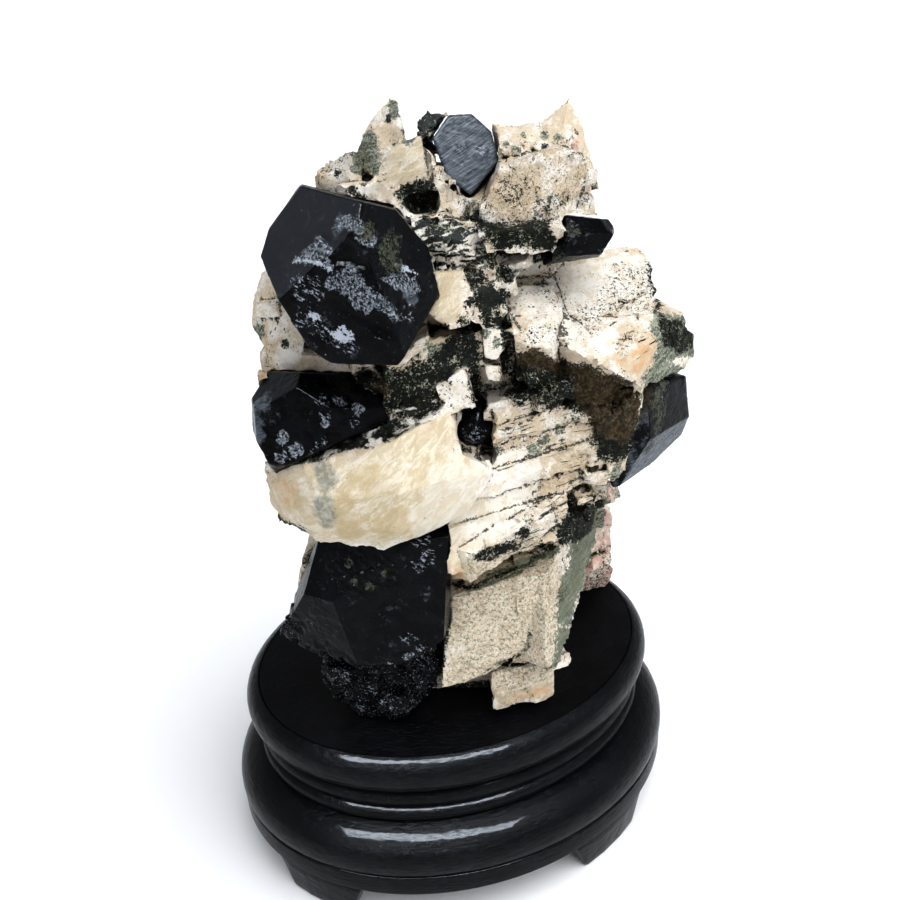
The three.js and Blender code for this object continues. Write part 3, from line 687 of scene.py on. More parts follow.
# black and white stripes of the thin layers seen edge on
stripedOutlines = [
    [(-3, 91), (4, 88), (12, 86), (12, 79), (1, 79), (-2, 86)],
    [(-24, 46), (-21, 49), (-15, 51), (-12, 53), (-10, 54), (-5, 55), (-1, 56), (3, 56), (3, 54),
     (0, 52), (-4, 51), (-8, 49), (-13, 48), (-18, 47), (-22, 46)],
]
brownPlaces = [
    (-3, -6, 130, 2), (-1, -10, 126, 1.8), (-9, -26, 84, 1.8), (-9, -27, 86, 1.6), (-12, -16, 118, 1.4),
    (-15, -12, 118, 1.8), (24, -26, 64, 1.2), (-1, -7, 124, 1.6), (1, -6, 122, 1),
]
# painted shade: brown on the shadowed underside of the overhanging block on the right
brownShadeOutlines = [
    [(27, 61), (34, 60), (38, 58), (41, 54), (42, 50), (40, 46), (36, 46), (32, 48), (29, 52),
     (27, 56)],
    [(17, 65), (28, 61), (34, 60), (33, 58), (24, 60), (17, 62)],
]
tanPlaces = [
    (-31, -18, 86, 1.6), (-32, -20, 84, 1.6), (2, -27, 108, 1.1), (3, -27, 105, 1.3), (49, -13, 89, 1.5),
    (43, -23, 88, 1.3), (-19, -6, 117, 1.2), (-17, -8, 119, 1.2), (11, -26, 8, 2), (14, -26, 4, 2.2),
    (20, -25, 9, 2), (22, -25, 4, 1.8), (-28, -22, 44, 2.4), (-28, -14, 92, 2), (-30, -14, 89, 2),
    (18, -28, 62, 1.5), (-1, -7, 124, 1.8), (0, -12, 124, 1.2), (24, -24, 66, 2), (44, -12, 92, 1.6),
]
tanOutlines = [
    [(21, 40), (24, 43), (29, 45), (31, 41), (26, 38), (22, 37), (19, 36)],
    [(11, 95), (15, 95), (21, 96), (23, 96), (22, 90), (19, 86), (15, 88), (12, 90)],
    [(26, 93), (28, 95), (30, 95), (29, 91), (28, 89), (25, 88)],
    [(-1, 99), (1, 100), (2, 96), (0, 95), (-2, 96)],
    [(1, 25), (6, 25), (6, 18), (3, 20)],
    [(-32, 65), (-30, 66), (-28, 63), (-29, 60), (-31, 61)],
    [(2, 75), (4, 76), (7, 73), (6, 69), (3, 69), (1, 70)],
    [(-2, -5), (5, 0), (9, 0), (5, -5), (-2, -4)],
    [(10, -8), (18, -6), (23, -6), (24, -11), (18, -10), (10, -11)],
]
peachOutlines = [
    [(-31, 42), (-28, 44), (-25, 41), (-27, 38), (-30, 38)],
    [(40, 67), (43, 66), (44, 64), (42, 61), (39, 58), (36, 59), (34, 61), (37, 62)],
    [(-2, 86), (0, 85), (2, 81), (2, 77), (0, 77), (-1, 81)],
    [(-32, 64), (-30.5, 64), (-29.5, 61), (-31, 60)],
    [(2, 24), (5, 23), (5, 19), (3, 20)],
    [(14, -8), (23, -7), (23, -9), (14, -10)],
]
honeyOutlines = [
    [(-16, 43), (-13, 46), (-9, 45), (-10, 42), (-12, 40), (-15, 41)],
    [(-19, 39), (-16, 41), (-15, 37), (-14, 32), (-18, 30), (-21, 34)],
    [(-32, 41), (-28, 44), (-25, 41), (-23, 38), (-27, 35), (-31, 36)],
    [(5, 51), (7, 52), (9, 46), (8, 42), (6, 45)],
    [(-13, 35), (-6, 37), (-4, 33), (-10, 30)],
]
pinkPlaces = [
    (38, 2, 44, 9), (41, 13, 21, 9), (40, 13, 12, 9), (43, 16, 6, 8), (38, 4, 30, 8), (30, -7, 124, 1),
    (30, -8, 122, 1.2), (31, -10, 119, 1.2), (34, -12, 115, 1.1),
]
smoothPlaces = [
    (-19, -35, 73, 3.4), (-15, -38, 70, 4.3), (-9, -37, 73, 4.3), (-6, -40, 69, 4.8), (-2, -35, 76, 3.8),
    (1, -36, 72, 3.6), (5, -35, 64, 4), (-16, -38, 61, 3.8), (-10, -39, 62, 3.8), (-3, -37, 60, 3.8),
    (-6, -34, 78, 2.8), (2, -32, 78, 2.6), (6, -34, 70, 2.8), (9, -30, 61, 3), (2, -33, 56, 3),
    (-27, -32, 67, 4), (-12, -38, 66, 5), (-20, -37, 66, 4), (0, -36, 65, 5), (-24, -34, 60, 3.5),
    (-1, -12, 122, 2.8), (-2, -13, 120, 2.4), (1, -12, 124, 2.2), (3, -25, 103, 3), (4, -26, 100, 2.6),
    (5, -24, 105, 2), (2, -35, 49, 2.4), (5, -35, 50, 2), (42, -24, 88, 1.9), (39, -26, 86, 2),
    (-24, -20, 87, 2.2),
]
# paler chalk on the faces that catch the most light: the stone's chalky colour and painted light
chalkAndPaintedLightOutlines = [
    [(-15.5, 103), (-11, 103), (-10.6, 97), (-15.5, 97)],
    [(15, 76), (23, 78), (25, 76), (25, 73), (23, 71), (20, 70), (17, 70), (15, 72)],
    [(25, 80), (35, 82), (43, 83), (45, 81), (45, 76), (41, 74), (37, 73), (34, 71), (29, 70), (27, 73),
     (26, 77)],
    [(41, 73), (44, 74), (44, 70), (40, 69), (35, 68), (34, 69)],
    [(18, 68), (22, 70), (25, 71), (28, 68), (29, 65), (26, 63), (22, 64), (18, 65)],
    [(30, 66), (36, 68), (35, 63), (32, 61), (29, 63)],
    [(10, 44), (17, 46), (21, 44), (20, 36), (15, 33), (10, 34), (8, 39)],
    [(7, 33), (12, 34), (17, 32), (21, 28), (16, 27), (9, 29)],
    [(11, 70), (14, 69), (15, 66), (14, 63), (11, 63), (10, 66)],
    [(10, 63), (13, 62), (14, 60), (11, 60)],
    [(1, 59), (4, 61), (7, 62), (10, 57), (9, 54), (2, 55)],
    [(13, 82), (14, 83), (17, 82), (21, 81), (24, 80), (20, 78), (15, 79)],
    [(-31, 74), (-27, 75), (-26, 70), (-30, 70)],
    [(-28, 69), (-23, 68), (-24, 65), (-28, 63), (-29, 60)],
    [(48, 62), (52, 63), (52, 61), (49, 61)],
]
speckOutlines = [
    [(23.5, 80), (25.5, 80.5), (27.5, 75), (28, 71.5), (31, 68.5), (32.5, 66), (30.4, 65.5), (27, 68.5),
     (25, 73), (24.5, 77)],
    [(37, 81), (44, 81), (45, 73), (41, 70), (33, 69), (31, 73), (34, 76)],
    [(29, 73), (33, 73), (32, 67), (28, 66)],
    [(16, 75), (19, 76), (19, 72), (16, 72)],
    [(22, 76), (25, 75), (25, 72), (22, 72)],
    [(2, 60), (6, 59), (5, 57), (2, 56)],
    [(11, 67), (13, 68), (13, 64), (10, 65)],
    [(18, 69), (25, 69), (27, 64), (18, 65)],
]
whiteOutlines = [
    [(7, 41), (13, 42), (16, 40), (15, 32), (12, 30), (6, 28), (3, 31), (3, 37)],
    [(-1, 44), (5, 46), (8, 41), (8, 33), (2, 28), (-4, 30), (-5, 35), (-1, 39)],
    [(7, 50), (10, 45), (17, 45), (20, 41), (16, 35), (8, 34), (7, 40)],
]
granularPlaces = [
    (8, -27, 30, 11), (14, -27, 22, 9), (16, -27, 34, 7), (8, -27, 18, 9), (26, -24, 32, 4),
]
granularOutlines = [
    [(6, 26), (12, 27), (18, 30), (24, 26), (25, 18), (24, 5), (23, -6), (14, -7), (5, -2), (4, 10),
     (5, 18)],
    [(-10, 104), (-7, 105), (-6, 103), (-5, 97), (-9, 97), (-11, 99), (-11, 102)],
]
# what sticks out in small lumps, and what keeps its surface because a crystal lies close behind it
tuftedPlaces = [(2, -3, 127, 4), (5, -3, 128, 3)]
heldPlaces = [(36, -23, 78, 6), (33, -24, 80, 4), (34, -25, 60, 3)]
layeredPlaces = [
    (18, -28, 52, 10), (18, -28, 62, 12), (20, -27, 72, 11), (28, -26, 58, 9), (8, -16, 109, 7),
    (4, -18, 110, 6), (44, -12, 94, 5), (52, -10, 84, 6), (38, -22, 91, 6), (14, -34, 54, 8),
    (46, -16, 86, 5), (-16, -31, 76, 3), (-5, -29, 79, 3),
]
columnPlaces = [(20, -18, 116, 8), (28, -16, 117, 6), (13, -19, 116, 5)]
colours = {
    "ivory": (0.73, 0.655, 0.54, 1),
    "tan": (0.50, 0.40, 0.27, 1),
    "cream": (0.68, 0.58, 0.44, 1),
    "chalk": (0.85, 0.82, 0.76, 1),
    "peach": (0.66, 0.44, 0.26, 1),
    "pink": (0.66, 0.46, 0.39, 1),
    "butter": (0.62, 0.53, 0.37, 1),
    "milk": (0.80, 0.75, 0.65, 1),
    "honey": (0.55, 0.44, 0.25, 1),
    "olive": (0.22, 0.215, 0.13, 1),
    "paintedCreviceShade": (0.30, 0.235, 0.14, 1),
    "brown": (0.030, 0.022, 0.011, 1),
    "khaki": (0.120, 0.088, 0.044, 1),
    "jointAndCreaseShade": (0.055, 0.042, 0.025, 1),
    "greyGreen": (0.070, 0.085, 0.062, 1),
    "paleGreen": (0.36, 0.39, 0.31, 1),
    "lichen": (0.47, 0.46, 0.36, 1),
    "flank": (0.125, 0.145, 0.095, 1),
    "slate": (0.17, 0.19, 0.18, 1),
    "ash": (0.44, 0.44, 0.38, 1),
    "moss": (0.055, 0.060, 0.024, 1),
    "chlorite": (0.011, 0.015, 0.009, 1),
    "blackish": (0.004, 0.005, 0.004, 1),
}


# How enclosed each point is: by what is close and by what is further off
def shadedness(points, normals, tree):
    directions = []
    for i in range(rock["rays"]):
        z = 1 - (2 * i + 1) / rock["rays"]
        angle = i * math.pi * (3 - math.sqrt(5))
        flat = math.sqrt(1 - z * z)
        directions.append(Vector((flat * math.cos(angle), flat * math.sin(angle), z)))
    lean = normals @ np.array(directions).T
    near, far = np.zeros(len(points)), np.zeros(len(points))
    starts = points + normals * rock["rayLift"] * mm
    for i, start in enumerate(starts):
        origin = Vector(start)
        total, close, wide = 0, 0, 0
        for j, direction in enumerate(directions):
            if lean[i, j] > 0.1:
                total += lean[i, j]
                distance = tree.ray_cast(origin, direction, rock["far"] * mm)[3]
                if distance is not None:
                    wide += lean[i, j]
                    if distance < rock["near"] * mm:
                        close += lean[i, j]
        near[i], far[i] = close / total, wide / total
    return near, far


# One random number for each flat face of the solid, told by the way it looks and how far out it lies
def faceTones(points, tree):
    keys = np.zeros((len(points), 3), np.int64)
    for i, point in enumerate(points):
        place, facing, _, _ = tree.find_nearest(Vector(point))
        keys[i] = [round(8 * v) for v in facing]
        keys[i, 0] += 41 * round(facing.dot(place) / mm / 2.5)
    return hashed(keys, 17)


def fineRock():
    piece = weldedCopy("feldspar_matrix", "feldspar")
    remesh = piece.modifiers.new("fine", "REMESH")
    remesh.mode = "SHARP"
    remesh.octree_depth = rock["gridDepth"]
    remesh.scale = rock["gridFill"]
    remesh.use_remove_disconnected = False
    settled(piece)
    return piece


def cells(*indices):
    return np.stack([np.floor(i).astype(np.int64) for i in indices], 1)


# How deep the blocks of each cleavage layer lie, and the upright slabs of the columns, from 0 to 1
def cleaved(p, q):
    layer = np.floor(q[:, 2] / rock["layer"] + 0.35 * cloud(p, 14, 2, 3))
    shift = 7 * hashed(cells(layer, layer, layer), 5)
    length = (q[:, 0] + shift + 0.8 * softNoise(p, 5, 9)) / rock["blockLength"]
    width = (q[:, 1] + shift + 0.8 * softNoise(p, 5, 10)) / rock["blockWidth"]
    recess = hashed(cells(layer, length, width), 11) ** 1.6
    standing = (p @ unit((0.93, 0.1, -0.35))) / rock["slab"] + 0.3 * cloud(p, 8, 2, 4)
    rank = p[:, 2] / rock["slabHeight"] + 0.5
    return recess, hashed(cells(standing, rank, rank), 12)


def shapeRock():
    piece = fineRock()
    data = piece.data
    framePoints, frameNormals = pointsOf(data), normalsOf(data)
    view = bpy.context.evaluated_depsgraph_get()
    tree = BVHTree.FromObject(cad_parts["feldspar_matrix"], view)
    edges = edgesOf(data)
    near, far = shadedness(framePoints, frameNormals, tree)
    near, far = evened(near, edges, 1), evened(far, edges, 3)
    tone = faceTones(framePoints, tree)
    p = toStone(framePoints)
    n = turned(frameNormals, -stone["turn"])

    p = withoutNeedles(p, edges, rock["needle"])
    middle = middles(p, edges)
    bend = ((middle - p) * n).sum(axis=1)
    # wears off the small peaks that stand alone
    p = p + (middle - p) * (rock["peakWear"] * smoothstep(0.12, 0.4, -bend))[:, None]
    # concave creases, coloured dark later: painted crease shade and dark joint filling
    jointAndCreaseShade = smoothstep(0.02, 0.13, evened(bend, edges, 1))
    ridge = smoothstep(0.03, 0.2, -evened(bend, edges, 2))

    smooth = filled(p, smoothPlaces)
    layered = np.maximum(filled(p, layeredPlaces), 0.55 * smoothstep(8, 20, p[:, 1]))
    columns = filled(p, columnPlaces)
    granular = marked(p, n, granularPlaces, granularOutlines, 0.8, 94)
    gaps = outlined(p, n, gapOutlines, 0.35)
    nearCrack = lined(p, n, crackLines)[1]
    # paler chalk: chalky colour and painted light
    pale = outlined(p, n, chalkAndPaintedLightOutlines, 0.8, 88)
    white = outlined(p, n, whiteOutlines)
    rough = (1 - 0.92 * smooth) * (1 - 0.6 * granular) * (1 - 0.5 * white)

    # q runs along the cleavage
    up = unit(rock["cleavage"])
    side = unit(np.cross((0, 1, 0), up))
    q = p @ np.array([side, np.cross(up, side), up]).T
    recess, column = cleaved(p, q)
    chip, _, _ = scattered(q + 0.9 * cloud(p, 4, 2, 6)[:, None], rock["chip"], 20, blocky=True)
    small, _, _ = scattered(q, rock["chip"] * rock["smallChip"], 30, blocky=True)
    inward = rock["sag"] * (0.5 + 0.5 * cloud(p, 13, 3, 1))
    inward += rough * rock["layerDepth"] * recess * np.maximum(layered, 0.06) * (1 - columns)
    inward += rough * rock["chipDepth"] * chip**3
    inward += rough * rock["smallDepth"] * small**3
    inward += rock["slabDepth"] * columns * column
    worn = np.maximum(0, small - 0.25 + 0.4 * cloud(p, 3.2, 3, 2))
    inward += rock["wear"] * ridge * worn * (1 - 0.5 * smooth)
    inward += rock["grain"] * softNoise(p, rock["grainSize"], 8) * rough
    rising = unit((0.86, 0, 0.5))
    falling = unit((-0.5, 0, 0.86))
    ripples = np.stack([p @ rising, p[:, 1], p @ falling], 1) / rock["rippleSize"]
    inward += rock["ripple"] * smooth * cloud(ripples, 1, 3, 15)
    slit = np.maximum(smoothstep(0.4, 0.8, gaps), 0.6 * smoothstep(0.8, 0.2, nearCrack))
    inward += rock["crackDepth"] * slit
    lump, _, _ = scattered(p, rock["lump"], 40)
    inward += rock["lumpDepth"] * spotted(p, tuftedPlaces) * lump
    inward *= 1 - 0.95 * filled(p, heldPlaces, 1.5)
    keepFlat = smoothstep(0.0, 1.5, p[:, 2])
    p = p - n * (np.maximum(inward, -0.05) * keepFlat)[:, None]
    p = withoutNeedles(p, edges, rock["needle"])
    setPoints(data, toFrame(p))

    causes = {"near": near, "far": far, "under": np.clip(-n[:, 2], 0, 1), "jointAndCreaseShade": jointAndCreaseShade}
    causes["layer"] = (recess - 0.5) * layered
    causes["start"] = -1
    # painted shade from enclosure, downward faces, creases and recessed blocks; the listed places add dark
    # chlorite and painted shadow
    chloriteAndShade = sum(amount * causes[name] for name, amount in paintedShadeWeights.items())
    chloriteAndShade = np.clip(chloriteAndShade, 0, 0.8) * (1 - 0.75 * np.maximum(np.maximum(smooth, white), pale))
    chloriteAndShade = np.maximum(chloriteAndShade, marked(p, n, chloriteAndShadowPlaces, chloriteAndShadowOutlines, 0.9, 73))
    # painted crevice shade: an olive-brown tint where the stone is enclosed and creased
    paintedCreviceShade = np.clip(sum(amount * causes[name] for name, amount in creviceShadeWeights.items()), 0, 1)
    # the side that the photo doesn't show
    behind = smoothstep(-4, 6, p[:, 1])
    darkBehind = 0.5 * behind * smoothstep(-0.1, 0.5, cloud(p, 16, 3, 60))
    greenBehind = 0.55 * behind * smoothstep(0, 0.5, cloud(p, 20, 2, 61))
    tanBehind = 0.5 * behind * smoothstep(0.1, 0.5, cloud(p, 18, 2, 62))
    aside, nearCrack = lined(p, n, crackLines)
    masks = {
        "chloriteAndShade": np.maximum(chloriteAndShade, darkBehind),
        "gap": outlined(p, n, gapOutlines, 0.25),
        "crackSide": aside,
        "crackNear": nearCrack,
        "pale": pale,
        "speckled": outlined(p, n, speckOutlines, 1.5, 91),
        "paintedCreviceShade": paintedCreviceShade * (1 - 0.6 * np.maximum(smooth, pale)),
        "green": np.maximum(marked(p, n, greenPlaces, greenOutlines, 0.8, 76), greenBehind),
        # brown stains, and painted shade under the overhanging block
        "brown": marked(p, n, brownPlaces, brownShadeOutlines, 1),
        "tan": np.maximum(marked(p, n, tanPlaces, tanOutlines, 1.2, 79), tanBehind),
        "peach": outlined(p, n, peachOutlines, 1.2, 82),
        "honey": outlined(p, n, honeyOutlines, 1.4, 85),
        "pink": spotted(p, pinkPlaces),
        "granular": granular,
        "flank": spotted(p, flankPlaces),
        "grey": outlined(p, n, greyOutlines, 0.9, 97),
        "striped": outlined(p, n, stripedOutlines, 0.6, 98),
        "white": white,
        "smooth": smooth,
        "layered": layered,
        "columns": columns,
        "jointAndCreaseShade": jointAndCreaseShade,
        "tone": evened(tone, edges, 1),
    }
    for name, values in masks.items():
        writeMask(data, name, values)
    finishShading(data, rock["sharp"])
    print("feldspar:", len(data.vertices), "points", len(data.polygons), "faces")
    return piece


def feldsparFinish():
    f = Finish("feldsparFinish")
    smooth, layered, columns = f.mask("smooth"), f.mask("layered"), f.mask("columns")
    tone, white, granular = f.mask("tone"), f.mask("white"), f.mask("granular")
    lying = f.stretched((6, 6, 0.42), 3, -7.4)
    standing = f.stretched((0.5, 3.5, 3.5), 0, 20)

    toned = f.step(f.noise(9, 4, 0.6) + 0.35 * tone, 0.52, 0.82)
    colour = f.blend(toned, colours["ivory"], colours["cream"])
    chalky = f.step(f.noise(3.5, 5, 0.7) + 0.1 * tone - 0.1 * columns, 0.44, 0.6)
    colour = f.blend(chalky, colours["chalk"], colour)
    grit, pepper = f.noise(0.42, 4, 0.75), f.noise(0.36, 3, 0.7)
    gritty = f.step(grit + 0.03 * columns, 0.52, 0.6)
    colour = f.blend(gritty * (0.45 + 0.2 * columns), colour, colours["tan"])
    tanned = f.blend(f.patchy(0.9, 0.42, 0.6, 5, 0.75), colours["tan"], colours["cream"])
    colour = f.blend(f.ragged("tan", 2.2, 0.3, 0.75) * 0.8, colour, tanned)
    folds = f.noise(1.5, 5, 0.68, place=f.stretched((2.2, 2, 0.75), 0, -38), distortion=0.7)
    butter = f.blend(f.step(folds, 0.42, 0.6), colours["butter"], colours["milk"])
    butter = f.blend(f.patchy(7, 0.34, 0.68, 4, 0.6) * 0.5, butter, colours["butter"])
    butter = f.blend(f.ragged("honey", 2.4, 0.0, 1.2, 2.2) * 0.65, butter, colours["honey"])
    butter = f.blend(f.step(grit, 0.55, 0.65) * 0.25, butter, colours["honey"])
    colour = f.blend(smooth, colour, butter)
    milky = f.blend(f.patchy(4, 0.46, 0.62), colours["chalk"], colours["milk"])
    colour = f.blend(f.ragged("white", 2.5, 0.2, 0.85, 2.0) * (0.9 - 0.5 * smooth), colour, milky)
    # paler chalk: chalky colour and painted light on the most lit faces
    chalkier = f.blend(f.patchy(2.2, 0.44, 0.66), colours["chalk"], colours["ivory"])
    colour = f.blend(f.ragged("pale", 1.8, 0.3, 0.7, 1.6) * 0.85, colour, chalkier)
    stain = f.noise(2.4, 5, 0.7)
    warm = f.blend(f.step(stain, 0.44, 0.6), colours["peach"], colours["cream"])
    colour = f.blend(f.ragged("peach", 2.4, 0.3, 0.75) * 0.85, colour, warm)
    rosy = f.blend(f.step(stain, 0.4, 0.65), colours["pink"], colours["milk"])
    colour = f.blend(f.ragged("pink", 3, 0.25, 0.6), colour, rosy)
    grains = f.ragged("granular", 2, 0.35, 0.6)
    salted = f.blend(f.patchy(0.75, 0.43, 0.51, 5, 0.8), colours["olive"], colours["cream"])
    salted = f.blend(f.step(grit, 0.50, 0.60) * 0.85, salted, colours["chalk"])
    salted = f.blend(f.patchy(5, 0.50, 0.64, 4) * 0.35, salted, colours["tan"])
    colour = f.blend(grains * 0.9, colour, salted)
    slaty = f.blend(f.patchy(1.3, 0.42, 0.62), colours["slate"], colours["ash"])
    colour = f.blend(f.ragged("grey", 1.5, 0.2, 0.9, 1.8) * 0.65, colour, slaty)
    stripes = f.noise(1, 4, 0.65, place=f.stretched((3.5, 3.5, 0.5), 0, -14))
    mossy = f.step(0.55 * pepper + 0.45 * stripes, 0.45, 0.55)
    mossy = f.blend(mossy, colours["greyGreen"], colours["paleGreen"])
    mossy = f.blend(f.mask("flank") * 0.75, mossy, colours["flank"])
    colour = f.blend(f.ragged("green", 1.1, 0.38, 0.56) * 0.92, colour, mossy)
    edgewise = f.noise(1, 3, 0.5, place=f.stretched((5.5, 5.5, 1.25), 3, -7))
    edgewise = 0.82 * edgewise + 0.18 * pepper
    striped = f.ragged("striped", 1, 0.35, 0.6, 1.8)
    chalky = f.blend(f.step(grit, 0.36, 0.5), colours["ash"], colours["chalk"])
    colour = f.blend(striped * 0.9, colour, chalky)

    # painted crevice shade, broken up by noise
    paintedShadeAmount = f.step(f.mask("paintedCreviceShade") + 1.8 * (f.noise(0.9, 5, 0.7) - 0.5), 0.25, 0.85)
    colour = f.blend(paintedShadeAmount * (0.55 - 0.22 * layered), colour, colours["paintedCreviceShade"])
    # dark brown in the creases: painted crease shade and dark joint filling
    jointAndCreaseShades = f.step(f.mask("jointAndCreaseShade") + 2.2 * (f.noise(0.5, 5, 0.7) - 0.5), 0.74, 0.86)
    colour = f.blend(jointAndCreaseShades * (0.9 - 0.5 * smooth) * (1 - grains), colour, colours["jointAndCreaseShade"])
    near = f.step(f.mask("chloriteAndShade"), 0.05, 0.6)
    cluster = f.most(f.step(f.noise(5, 5, 0.7) - 0.12 * smooth, 0.46, 0.62), near) - 0.9 * white
    cluster = f.most(cluster, f.mask("speckled") * 0.95)
    level = 0.68 - 0.12 * cluster - 0.03 * columns + 0.12 * smooth
    specks = f.step(f.noise(0.58, 4, 0.75) - level, 0, 0.02)
    level = 0.67 - 0.07 * cluster - 0.06 * columns + 0.11 * smooth
    specks = f.most(specks, f.step(f.noise(0.3, 3, 0.7) - level, 0, 0.02) * 0.85)
    specks = specks * (1 - 0.55 * grains)
    dashes = f.noise(1, 5, 0.65, place=lying)
    dashes = f.step(dashes - (0.70 - 0.09 * layered + 0.08 * white), 0, 0.02) * f.step(layered, 0.25, 0.6)
    streaks = f.noise(1, 5, 0.65, place=standing)
    streaks = f.step(streaks - 0.63, 0, 0.03) * f.step(columns, 0.3, 0.6)
    ink = f.most(f.most(specks, dashes), streaks)
    # the dark: painted shade in hollows and under overhangs, and dark chlorite
    ink = f.most(ink, f.ragged("chloriteAndShade", 0.65, 0.44, 0.52, 2.2))
    ink = f.most(ink, f.ragged("gap", 0.6, 0.48, 0.56, 1.4))
    aside = f.node("Math", {"operation": "ABSOLUTE"}, {0: f.mask("crackSide")})
    aside = aside + 4 * (f.noise(0.6, 5, 0.75) - 0.5)
    cracks = f.step(aside, 1.1, 0.7) * f.step(f.mask("crackNear"), 0.85, 0.6)
    ink = f.most(ink, cracks * f.patchy(1.5, 0.44, 0.52, 4) * 0.9)
    ink = ink * (1 - striped) + f.step(edgewise, 0.52, 0.485) * striped
    # colour of the ink, also used for the painted shade
    gloom = f.blend(f.patchy(1.3, 0.44, 0.56, 5, 0.75), colours["blackish"], colours["chlorite"])
    gloom = f.blend(f.patchy(0.9, 0.54, 0.62, 5, 0.75) * 0.8, gloom, colours["moss"])
    earthy = f.blend(f.patchy(0.8, 0.45, 0.6, 5, 0.75), colours["brown"], colours["khaki"])
    browned = f.ragged("brown", 2, 0.3, 0.7)
    gloom = f.blend(browned, gloom, earthy)
    # light flecks in the dark chlorite: painted mica glints
    flecksAndGlints = f.step(0.55 * f.noise(0.45, 4, 0.75) + 0.45 * f.noise(3, 4, 0.75), 0.55, 0.58)
    gloom = f.blend(flecksAndGlints * (0.85 - 0.7 * browned), gloom, colours["lichen"])
    colour = f.blend(ink, colour, gloom)

    height = 0.6 * grit + 0.4 * f.noise(1, 4, 0.6, place=lying) - 0.5 * ink
    height = height + 0.9 * smooth * folds + 0.5 * granular * pepper
    return f.surface({
        "Base Color": colour,
        "Roughness": rock["roughness"] - 0.22 * smooth - 0.2 * ink,
        "Normal": f.bump(height, rock["bumpDepth"], rock["bump"]),
        "Specular IOR Level": rock["specular"],
    })


def makeRock():
    piece = shapeRock()
    piece.data.materials.append(feldsparFinish())
    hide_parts("feldspar_matrix")
    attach(piece, "root")


makeRock()
